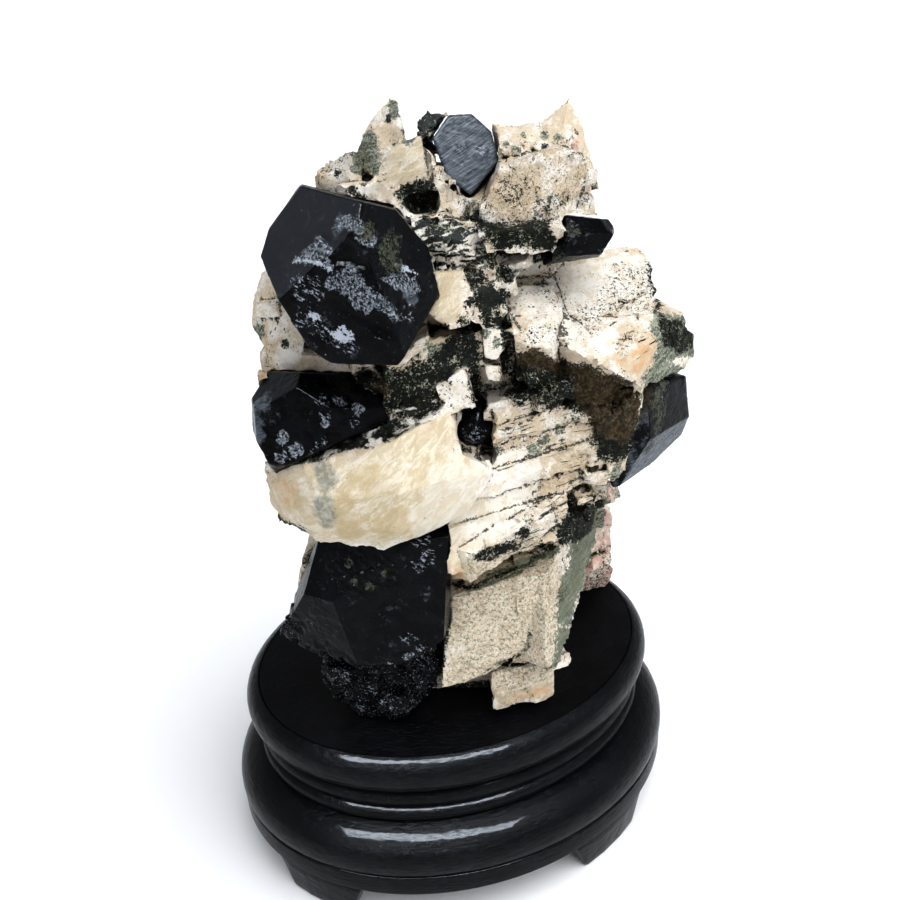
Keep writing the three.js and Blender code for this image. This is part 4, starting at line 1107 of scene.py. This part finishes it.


# Morion crystals: how fine and uneven their faces are, and where their marks are, among them painted
# glints, highlights, sheen and reflections
crystals = {
    "morion_upper_left": {
        "edge": 0.45, "plates": 3.4, "tilt": 0.05, "step": 0.3,
        # painted glints: silver patches standing in for reflections off tilted growth plates
        "paintedGlintOutlines": [
            [(-21.4, 80.5), (-17.6, 82.4), (-16.1, 83.5), (-14.3, 80.6), (-14.8, 79.5), (-14.5, 77.9),
             (-16.6, 78.7), (-19.3, 79.9)],
            [(-16.1, 75.8), (-13.9, 77.4), (-11.3, 77.9), (-9.7, 76.6), (-7.9, 74.1), (-4.8, 72),
             (-3.7, 68.9), (-5, 68.8), (-6.8, 71.2), (-9.3, 70.5), (-11.5, 72.1), (-12.5, 73.9),
             (-14.7, 74.8)],
            [(-13.1, 85.6), (-11.4, 86.3), (-9.2, 85.1), (-8.1, 83.6), (-6.8, 82.5), (-7.7, 80.7),
             (-9.5, 82), (-10.8, 84), (-12.4, 83.7)],
            [(-6.1, 76), (-3.2, 77.4), (-0.8, 76.3), (0, 74.7), (-1.8, 73.8), (-4.2, 74.3)],
        ],
        # painted highlights
        "paintedHighlightOutlines": [
            [(-21.2, 80.1), (-18.8, 79.8), (-16.4, 78.9), (-14.5, 77.7), (-15, 78.5), (-17, 79.4),
             (-19.3, 80.3)],
            [(-4.4, 78.6), (-2.5, 78.4), (-0.6, 77.4), (-2.3, 77.6)],
            [(-15.6, 68.2), (-14.4, 68.2), (-11.9, 66.6), (-13.2, 66.4), (-14.6, 66.9)],
            [(-14.1, 68.9), (-13.4, 69), (-11.8, 67.2), (-12.6, 67.4)],
            [(-19, 71.3), (-18.2, 71.6), (-17.2, 70.3), (-18.3, 70.3)],
        ],
        "carved": [
            (0.7, [(-16.4, 83.9), (-11.6, 82.8), (-9.6, 80.5), (-7.8, 78.5), (-5.7, 75.4),
                   (-6.9, 74.1), (-9.3, 77.1), (-11.2, 78.5), (-14.1, 78.1), (-14.7, 80.7)]),
            (0.45, [(-4, 68.9), (-4.6, 65.9), (-7.2, 66.8), (-10.4, 69.3), (-12.8, 71.4),
                    (-9.3, 70.2), (-6, 70.5)]),
        ],
        "flecksAndGlints": [
            (-20, -32, 109, 1.4), (-18, -33, 108, 1.8), (-17, -33, 107, 1.4), (-20, -33, 106, 1.4),
            (-19, -33, 104, 1.6), (-18, -34, 101, 1.6), (-14, -35, 99, 1.8), (-16, -34, 100, 1.6),
            (-13, -35, 98, 1.6), (-3, -33, 102, 1.6), (-7, -34, 99, 1.4), (-21, -33, 102, 1.2),
        ],
        "blueAndPaintedReflection": [(-12, -31, 118, 1.4), (-2, -31, 104, 1.6), (-9, -32, 116, 1.2)],
        "stain": [
            (-8, -33, 117, 1.4), (-4, -30, 114, 1.8), (-5, -32, 112, 2.2), (-5, -31, 113, 2),
            (-4, -31, 110, 1.5),
        ],
        "paintedSheenFaces": [
            (-0.59, -0.56, 0.59, 1), (0.3, 0.3, 0.92, 0.7), (-0.74, 0.1, 0.66, 0.8), (-0.93, 0.3, 0.2, 0.5),
            (0.75, -0.59, 0.29, 0.15),
        ],
    },
    "morion_middle_left": {
        "edge": 0.5, "plates": 2.8, "tilt": 0.05, "step": 0.22,
        "paintedGlint": [
            (-16, -29, 84, 1.3), (-13, -29, 82, 1.1), (-19, -31, 81, 0.9), (-27, -31, 78, 1.2),
            (-25, -32, 76, 1.3), (-28, -31, 74, 1.2),
        ],
        "flecksAndGlints": [
            (-19, -30, 85, 1.2), (-19, -32, 82, 1.2), (-20, -33, 78, 1.2), (-14, -30, 80, 1.2),
            (-21, -32, 75, 1.6), (-26, -31, 75, 1.6),
        ],
        "blueAndPaintedReflection": [
            (-31, -27, 84, 2), (-32, -28, 81, 1.8), (-32, -28, 78, 1.8), (-32, -28, 74, 1.8),
            (-30, -29, 70, 1.6), (-30, -24, 87, 1.6),
        ],
        "bluePaintedReflectionFaces": [(-0.97, -0.22, 0.1, 1)],
        "stain": [(-22, -33, 74, 1.2)],
        "paintedSheenFaces": [(-0.5, -0.15, 0.85, 0.35), (0.1, 0.45, 0.88, 0.25)],
    },
    "morion_lower_left": {
        "edge": 0.6, "plates": 3.4, "tilt": 0.055, "step": 0.25,
        "paintedGlint": [(-8, -35, 27, 0.9)],
        "flecksAndGlints": [
            (-3, -33, 55, 1.5), (-2, -34, 51, 1.5), (-4, -34, 49, 1.4), (-7, -34, 31, 1.6),
            (-5, -35, 28, 1.5), (-12, -33, 25, 1.4), (-17, -26, 10, 1.4), (-22, -28, 16, 1.4),
            (-14, -29, 9, 1.4), (-6, -27, 12, 1.4), (-20, -25, 4, 1.2), (-6, -28, 20, 1.6),
            (0, -31, 36, 1.2), (-1, -31, 30, 1.4), (0, -30, 25, 1.4),
        ],
        "stain": [(-17, -32, 45, 1), (-18, -30, 48, 0.9), (-11, -33, 47, 0.8), (-14, -33, 44, 0.9)],
        "paintedSheenFaces": [(-0.45, -0.73, 0.51, 0.12)],
        "rough": [(-17, -31, 46, 4.5), (-12, -33, 47, 3.5), (-21, -29, 45, 3), (-26, -26, 32, 3)],
        "drusy": [
            (-23, -27, 18, 7), (-17, -27, 10, 8), (-8, -30, 24, 4), (-7, -27, 7, 6), (-12, -27, 15, 8),
            (-26, -24, 10, 5), (-3, -26, 17, 6), (-14, -22, 3, 8), (-33, -24, 29, 4),
        ],
    },
    "morion_right": {
        "edge": 0.5, "plates": 3, "tilt": 0.03, "step": 0.12,
        "flecksAndGlints": [(45, -20, 76, 1.2)],
        "blueAndPaintedReflection": [(40, -24, 61, 2)],
        "bluePaintedReflectionFaces": [(0.66, -0.66, -0.36, 1), (-0.15, -0.98, 0.1, 0.3), (0.22, -0.25, -0.94, 0.6)],
        "stain": [
            (43, -21, 76, 2.2), (44, -20, 73, 2.2), (43, -21, 70, 1.8), (42, -22, 66, 1.6),
            (45, -19, 78, 1.8),
        ],
        "paintedSheenFaces": [(0.74, -0.66, 0.1, 0.1), (0.85, 0.5, 0.1, 0.4)],
        "buried": [(36, -22, 77, 4.5), (34, -24, 79, 4)],
    },
    "morion_top_right": {
        "edge": 0.45, "plates": 2.2, "tilt": 0.05, "step": 0.28,
        "flecksAndGlints": [(33, -20, 106, 1), (24, -21, 111, 1.2)],
        "stain": [(25, -20, 111, 2), (27, -20, 111, 1.6), (24, -21, 107, 1.6)],
        "rough": [(25, -20, 110, 3)],
    },
    "morion_top": {
        "edge": 0.45, "plates": 3, "tilt": 0.02, "step": 0.1,
        "flecksAndGlints": [(9, -10, 124, 1.2), (12, -9, 122, 1)],
        "blueAndPaintedReflection": [(9, -9, 122, 14)],
    },
    "morion_in_hollow": {
        "edge": 0.6, "plates": 2, "tilt": 0.05, "step": 0.1,
        "flecksAndGlints": [(8, -25, 72, 2)],
    },
    "morion_back_low": {
        "edge": 0.7, "plates": 3.4, "tilt": 0.04, "step": 0.15,
        "paintedGlint": [(-4, 33, 24, 2)],
        "flecksAndGlints": [(4, 34, 27, 3)],
        "blueAndPaintedReflection": [(4, 30, 16, 3)],
        "stain": [(0, 20, 34, 3)],
        "paintedSheenFaces": [(0, 0.2, 0.98, 0.5)],
    },
    "morion_back_high": {
        "edge": 0.7, "plates": 3.4, "tilt": 0.04, "step": 0.15,
        "paintedGlint": [(20, 27, 82, 2)],
        "flecksAndGlints": [(24, 27, 84, 3)],
        "blueAndPaintedReflection": [(28, 20, 80, 3)],
        "stain": [(20, 16, 90, 3)],
        "paintedSheenFaces": [(0, 0.2, 0.98, 0.5)],
    },
}
crystalMake = {
    "bevel": 0.28,
    "swell": 0.2,
    "terrace": 0.16,
    "fine": 0.35,
    "wave": 0.05,
    "lump": 1.7,
    "sink": 0.5,
    "drusy": 2.1,
    "drusyDepth": 0.9,
    "deepest": -1.8,
    "highest": 0.4,
    "sharp": 22,
    "roughness": 0.10,
    "index": 1.54,
    "specular": 0.11,
    "bumpDepth": 0.2,
    "bump": 0.55,
}
morionColours = {
    "black": (0.0020, 0.0021, 0.0027, 1),
    "ink": (0.0058, 0.0062, 0.0078, 1),
    "paintedSheen": (0.032, 0.035, 0.042, 1),
    "slate": (0.048, 0.058, 0.070, 1),
    "blueAndPaintedReflection": (0.19, 0.215, 0.25, 1),
    "lead": (0.025, 0.030, 0.038, 1),
    "pewter": (0.18, 0.20, 0.23, 1),
    "paintedGlint": (0.46, 0.49, 0.53, 1),
    "paintedGlintFleck": (0.38, 0.42, 0.48, 1),
    "paintedHighlight": (0.50, 0.54, 0.60, 1),
    "bog": (0.012, 0.016, 0.010, 1),
    "lichen": (0.085, 0.092, 0.060, 1),
    "pale": (0.26, 0.28, 0.26, 1),
    "dustAndGlints": (0.36, 0.40, 0.40, 1),
}


# Bevels the edges and cuts the faces until no edge is longer than `edge`
def refined(data, bevel, edge):
    work = bmesh.new()
    work.from_mesh(data)
    bmesh.ops.dissolve_limit(work, angle_limit=math.radians(4), verts=work.verts[:], edges=work.edges[:])
    bmesh.ops.bevel(
        work, geom=work.edges[:], offset=bevel * mm, segments=2, profile=0.6, affect="EDGES",
        clamp_overlap=True,
    )
    bmesh.ops.triangulate(work, faces=work.faces[:])
    for _ in range(7):
        tooLong = [e for e in work.edges if e.calc_length() > edge * mm]
        if not tooLong:
            break
        bmesh.ops.subdivide_edges(work, edges=tooLong, cuts=1)
        bmesh.ops.triangulate(work, faces=work.faces[:])
    work.to_mesh(data)
    work.free()


def waves(numbers, rates):
    return np.stack([wave(rate * numbers) for wave, rate in zip((np.sin, np.cos, np.sin), rates)], 1)


def shapeMorion(node, look, seed):
    look = defaultdict(list, look)
    piece = weldedCopy(node, node.replace("morion", "crystal"))
    data = piece.data
    refined(data, crystalMake["bevel"], look["edge"])
    p = toStone(pointsOf(data))
    n = turned(normalsOf(data), -stone["turn"])
    kinds = ("paintedGlint", "flecksAndGlints", "blueAndPaintedReflection", "stain")
    masks = {kind: spotted(p, look[kind], 0.6, seed) for kind in kinds}
    masks["paintedGlint"] = np.maximum(masks["paintedGlint"], outlined(p, n, look["paintedGlintOutlines"], 0.5, seed))
    masks["paintedHighlight"] = outlined(p, n, look["paintedHighlightOutlines"], 0.1, seed)
    # facets picked by facing: painted sheen
    masks["paintedSheen"] = faced(n, look["paintedSheenFaces"])
    # facets picked by facing: bluish painted reflection
    masks["blueAndPaintedReflection"] = np.maximum(masks["blueAndPaintedReflection"], faced(n, look["bluePaintedReflectionFaces"]))
    uneven = np.maximum(np.maximum(masks["paintedGlint"], masks["flecksAndGlints"]), masks["stain"])
    uneven = np.minimum(1, 2 * uneven)

    # flat plates that lean a little, and finer ones on what is uneven
    slant = np.array([[1, 0.2, 0.3], [0, 1, 0], [-0.35, 0.1, 0.8]])
    q = (p + 0.6 * wander(p, 4, 1, seed)) @ slant
    number, away, _ = scattered(q, look["plates"], seed, blocky=True)
    lean = (away * waves(number, (40, 70, 90))).sum(axis=1)
    height = lean * look["tilt"] * (0.35 + 0.65 * uneven)
    height += look["step"] * (number - 0.7) * (0.3 + 0.7 * uneven)
    fine, _, _ = scattered(q, look["plates"] * crystalMake["fine"], seed + 9, blocky=True)
    height += 0.5 * look["step"] * (fine - 0.7) * uneven
    height += crystalMake["wave"] * cloud(p, 9, 3, seed + 5)
    # growth hillocks: low flat steps with wandering borders
    level = 4.5 * cloud(q, 7, 4, seed + 12)
    stepped = np.floor(level) + smoothstep(0, 0.3, level - np.floor(level))
    height += crystalMake["terrace"] * (stepped - level) * (0.35 + 1.3 * uneven)
    front = smoothstep(0.1, 0.4, -n[:, 1])
    for depth, outline in look["carved"]:
        inside = within(p, outline) + 0.9 * cloud(p, 3, 4, seed + 8)
        height -= depth * front * smoothstep(-0.5, 0.9, inside)
    rough = spotted(p, look["rough"], 0.6, seed)
    lump, _, gap = scattered(p, crystalMake["lump"], seed + 30)
    height += rough * (0.5 * (lump - 0.8) - 0.3 * smoothstep(0.5, 0, gap))
    buried = filled(p, look["buried"], 1.6, 0.3)
    height -= crystalMake["sink"] * buried
    drusy = filled(p, look["drusy"], 1.6, 0.3)
    point, toPoint, _ = scattered(p, crystalMake["drusy"], seed + 60)
    lean = (toPoint * waves(point, (50, 80, 120))).sum(axis=1)
    height += drusy * (0.5 * lean + crystalMake["drusyDepth"] * (point - 0.75))
    height = np.clip(height + crystalMake["swell"], crystalMake["deepest"], crystalMake["highest"])
    setPoints(data, toFrame(p + n * height[:, None]))
    masks["drusy"] = drusy
    masks["earth"] = buried
    for name, values in masks.items():
        writeMask(data, name, values)
    finishShading(data, crystalMake["sharp"])
    return piece


def morionFinish():
    f = Finish("morionFinish")
    tints = morionColours
    slanted = f.stretched((2.4, 1.0, 0.7), 0, 24)
    scratchy = f.stretched((3.2, 2.5, 0.2), 0, -24)
    paintedSheen, drusy, earth = f.mask("paintedSheen"), f.mask("drusy"), f.mask("earth")

    colour = f.blend(f.patchy(4, 0.4, 0.65, 3, 0.5), tints["black"], tints["ink"])
    # painted sheen: lighter charcoal on the picked facets, which are also rougher
    paintedSheenAndMatte = paintedSheen * (0.7 + 0.5 * f.noise(5, 3))
    colour = f.blend(paintedSheenAndMatte, colour, tints["paintedSheen"])
    streaks = f.noise(1, 5, 0.65, place=scratchy)
    # bluish-grey tone with streaks, and painted reflection on the picked facets
    bluish = f.ragged("blueAndPaintedReflection", 3, 0.2, 0.6)
    slaty = f.blend(f.step(streaks, 0.42, 0.66), tints["slate"], tints["blueAndPaintedReflection"])
    colour = f.blend(bluish * 0.92, colour, slaty)
    net, dots = f.noise(0.42, 4, 0.75), f.noise(0.9, 4, 0.7)
    # painted glints: netted silver patches, with a darker lead grey around them
    paintedGlint = f.ragged("paintedGlint", 1.6, 0.42, 0.5, 1.8)
    patches = paintedGlint * f.step(0.6 * net + 0.4 * dots, 0.47, 0.51)
    colour = f.blend(paintedGlint * 0.5, colour, tints["lead"])
    netted = f.blend(f.step(net, 0.5, 0.65), tints["pewter"], tints["paintedGlint"])
    colour = f.blend(patches * 0.92, colour, netted)
    # painted glints: small light flecks
    chips = f.noise(1, 4, 0.7, place=f.stretched((1.3, 0.9, 0.5), 0, 28))
    flecksAndGlints = f.step(chips, 0.54, 0.57) * f.step(net, 0.44, 0.5) * f.ragged("flecksAndGlints", 1.6, 0.35, 0.55)
    colour = f.blend(flecksAndGlints * 0.9, colour, tints["paintedGlintFleck"])
    # painted highlights: small white spots
    paintedHighlight = f.ragged("paintedHighlight", 0.6, 0.42, 0.48, 1.5)
    colour = f.blend(paintedHighlight * 0.9, colour, tints["paintedHighlight"])
    mottled = f.ragged("stain", 1.1, 0.34, 0.56)
    cloudy = f.blend(f.step(dots, 0.46, 0.56), tints["bog"], tints["lichen"])
    cloudy = f.blend(f.step(net, 0.56, 0.62) * 0.8, cloudy, tints["pale"])
    colour = f.blend(mottled * 0.85, colour, cloudy)
    # painted glints and dust: pale specks, most of them on the drusy foot
    dustAndGlints = f.step(f.noise(0.42, 4, 0.7) + 0.07 * drusy, 0.68, 0.71)
    colour = f.blend(dustAndGlints * (0.25 + 0.65 * drusy), colour, tints["dustAndGlints"])
    earthy = f.blend(f.patchy(0.8, 0.45, 0.6, 5, 0.75), colours["brown"], colours["khaki"])
    colour = f.blend(earth, colour, earthy)

    height = 0.5 * f.noise(1, 3, 0.6, place=slanted) + 0.35 * streaks
    height = height + 0.8 * drusy * f.noise(0.7, 3, 0.7)
    height = height + 0.4 * patches + 0.5 * flecksAndGlints + 0.5 * mottled * net
    roughness = crystalMake["roughness"] + 0.10 * f.noise(3, 3) + 0.28 * paintedSheenAndMatte
    roughness = roughness + 0.10 * drusy + 0.12 * bluish + 0.2 * mottled + 0.5 * earth
    return f.surface({
        "Base Color": colour,
        "Roughness": roughness,
        "Normal": f.bump(height, crystalMake["bumpDepth"], crystalMake["bump"]),
        "IOR": crystalMake["index"],
        "Specular IOR Level": crystalMake["specular"],
    })


def makeMorions():
    finish = morionFinish()
    for number, (node, look) in enumerate(crystals.items()):
        piece = shapeMorion(node, look, 100 * (number + 1))
        piece.data.materials.append(finish)
        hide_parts(node)
        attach(piece, "root")
        print("crystal:", piece.name, len(piece.data.vertices), "points")


makeMorions()


# Lacquered stand
stand = {
    "flare": 4.4,
    "swell": 0.3,
    "sides": 600,
    "samples": 4,
    "middle": -38.99,
    "recess": (-8, -8.6, -32.7),
    "plinth": -31,
    "wave": 0.12,
    "waveRound": 12,
    "brush": 0.15,
    "brushRound": 26,
    "footBevel": 0.7,
    "footEdge": 2.5,
    "sharp": 35,
    "black": (0.0035, 0.0038, 0.0050, 1),
    "sheen": (0.0065, 0.0070, 0.0090, 1),
    "dustAndGlints": (0.10, 0.10, 0.11, 1),
    "roughness": 0.14,
    "specular": 0.10,
    "coat": 0.03,
    "mouldingCoat": 0.21,
    "footCoat": 0.12,
    "coatRoughness": 0.08,
    "bumpDepth": 0.3,
    "bump": 0.75,
}


# The profile between its sharp edges: outward from the top moulding's edge, and down from the seat
def mouldingRuns(flare):
    drop = -(stone["seat"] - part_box("stand_body")[0].z) / mm
    return [
        [(-3.7, 0), (-3.5, -0.45), (-3.3, 0)],
        [(-3.3, 0), (-2.5, -0.3), (-1.3, -1.2), (-0.4, -2.6), (0, -4.4), (-0.2, -6.3), (-1, -8.2),
         (-2.4, -9.6), (-3.8, -10.2)],
        [(-3.8, -10.2), (-3.8, -11)],
        [(-3.8, -11), (-2.6, -11.8), (-2.1, -13.1), (-2.5, -14.4), (-3.4, -15)],
        [(-3.4, -15), (-3.4, -15.5)],
        [(-3.4, -15.5), (-2.2, -16.2), (-1.8, -17.4), (-2.2, -18.6), (-3.2, -19.2)],
        [(-3.2, -19.2), (-3.2, -19.8)],
        [(-3.2, -19.8), (-1.6, -20.1), (flare - 4.5, -20.6), (flare - 2.5, -21.8), (flare - 0.9, -23.5),
         (flare, -25.4), (flare + 0.3, -27.6), (flare + 0.1, -29.3), (flare - 0.7, -29.9)],
        [(flare - 0.7, -29.9), (flare - 0.7, -30.3)],
        [(flare - 0.7, -30.3), (flare - 0.2, -30.5), (flare, -30.9)],
        [(flare, -30.9), (flare, drop + 0.4)],
        [(flare, drop + 0.4), (flare - 0.1, drop + 0.1), (flare - 0.4, drop)],
    ]


# Smooth curve through the points of one run
def curved(run, samples):
    points = [np.array(p, float) for p in [run[0], *run, run[-1]]]
    made = []
    for a, b, c, d in zip(points, points[1:], points[2:], points[3:]):
        for i in range(samples):
            t = i / samples
            made.append(0.5 * (2 * b + (c - a) * t + (2 * a - 5 * b + 4 * c - d) * t**2
                               + (3 * b - a - 3 * c + d) * t**3))
    return made


def standProfile():
    flare = stand["flare"]
    widest = flare + stand["swell"]
    profile = [(o, 0) for o in (stand["middle"], -30, -20, -12, -7)]
    for run in mouldingRuns(flare):
        samples = stand["samples"] if len(run) > 2 else 2
        profile += [(min(o, widest), z) for o, z in curved(run, samples)]
    rim, inner, roof = stand["recess"]
    drop = profile[-1][1]
    profile += [(flare - 0.4, drop), (rim, drop), (inner, roof), (-20, roof), (stand["middle"], roof)]
    return profile


# Unrolled places on the turning, so that its marks run along the mouldings
def unrolled(angle, along, around):
    return np.stack([around * np.cos(angle), around * np.sin(angle), along], 1)


def makeStand():
    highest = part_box("stand_body")[1]
    widest = stand["flare"] + stand["swell"]
    halfLength, halfWidth = highest.x / mm - widest, highest.y / mm - widest
    profile = np.array(standProfile())
    sides = stand["sides"]
    lengths = np.linalg.norm(np.diff(profile, axis=0), axis=1)
    alongProfile = np.concatenate([[0], np.cumsum(lengths)])
    angle, row = np.meshgrid(np.arange(sides) * 2 * math.pi / sides, np.arange(len(profile)))
    angle, row = angle.ravel(), row.ravel()
    grain = unrolled(angle, alongProfile[row], stand["waveRound"])
    brushed = unrolled(angle, alongProfile[row], stand["brushRound"])
    outer = smoothstep(-4, -2.5, profile[row, 0]) * (profile[row, 1] > stand["plinth"])
    dent = stand["wave"] * (0.5 + 0.5 * cloud(grain, 1.6, 2, 7))
    dent += stand["brush"] * (0.5 + 0.5 * cloud(brushed, 0.6, 2, 8))
    # the turning is round, and then stretched to an oval
    radius = halfWidth + profile[row, 0] - outer * dent
    x = (radius + halfLength - halfWidth) * np.cos(angle)
    y = radius * np.sin(angle)
    z = stone["seat"] / mm + profile[row, 1]
    points = np.stack([x, y, z], 1) * mm
    faces = []
    for r in range(len(profile) - 1):
        for s in range(sides):
            t = (s + 1) % sides
            faces.append((r * sides + s, (r + 1) * sides + s, (r + 1) * sides + t, r * sides + t))
    faces.append(tuple(range(sides)))
    faces.append(tuple((len(profile) - 1) * sides + s for s in reversed(range(sides))))
    data = bpy.data.meshes.new("lacquered_stand")
    data.from_pydata(points.tolist(), [], faces)
    writeMask(data, "moulding", outer)
    layer = data.attributes.new("grain", "FLOAT_VECTOR", "POINT")
    layer.data.foreach_set("vector", grain.astype(np.float32).ravel())
    finishShading(data, stand["sharp"])
    piece = added("lacquered_stand", data)
    piece.data.materials.append(lacquerFinish("lacquerFinish", True))
    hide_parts("stand_body")
    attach(piece, "root")
    print("stand:", len(data.vertices), "points")


# The stand's highlights are broken up along its mouldings, and the feet's aren't
def lacquerFinish(name, turning):
    f = Finish(name)
    if turning:
        grain = f.node("Attribute", {"attribute_name": "grain"}, output="Vector")
        longer = f.node("VectorMath", {"operation": "MULTIPLY"}, {0: grain, 1: (0.45, 0.45, 1)})
        wavy = f.noise(0.55, 3, 0.55, place=grain) + 0.7 * f.noise(0.22, 4, 0.7, place=longer)
        wavy = wavy + 0.3 * f.noise(0.4, 3, 0.7, place=grain)
        broken = f.step(f.noise(0.55, 4, 0.75, place=grain), 0.38, 0.54)
        coat = stand["coat"] + stand["mouldingCoat"] * (f.mask("moulding") * (0.4 + 0.6 * broken))
    else:
        wavy = f.noise(1.6, 3, 0.55)
        coat = stand["footCoat"]
    colour = f.blend(f.patchy(9, 0.4, 0.7, 3, 0.5), stand["black"], stand["sheen"])
    dustAndGlints = f.patchy(0.35, 0.74, 0.78, 2, 0.5)
    colour = f.blend(dustAndGlints * 0.3, colour, stand["dustAndGlints"])
    height = 0.8 * wavy + 0.25 * f.noise(0.6, 2)
    return f.surface({
        "Base Color": colour,
        "Roughness": stand["roughness"] + 0.10 * f.noise(5, 3),
        "Specular IOR Level": stand["specular"],
        "Coat Weight": coat,
        "Coat Roughness": stand["coatRoughness"],
        "Normal": f.bump(height, stand["bumpDepth"], stand["bump"]),
    })


def makeFeet():
    finish = lacquerFinish("footFinish", False)
    for node in ("foot_front_left", "foot_front_right", "foot_back_right", "foot_back_left"):
        piece = weldedCopy(node, node.replace("foot", "bracket"))
        refined(piece.data, stand["footBevel"], stand["footEdge"])
        finishShading(piece.data, stand["sharp"])
        piece.data.materials.append(finish)
        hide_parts(node)
        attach(piece, "root")


makeStand()
makeFeet()
print("stand set")
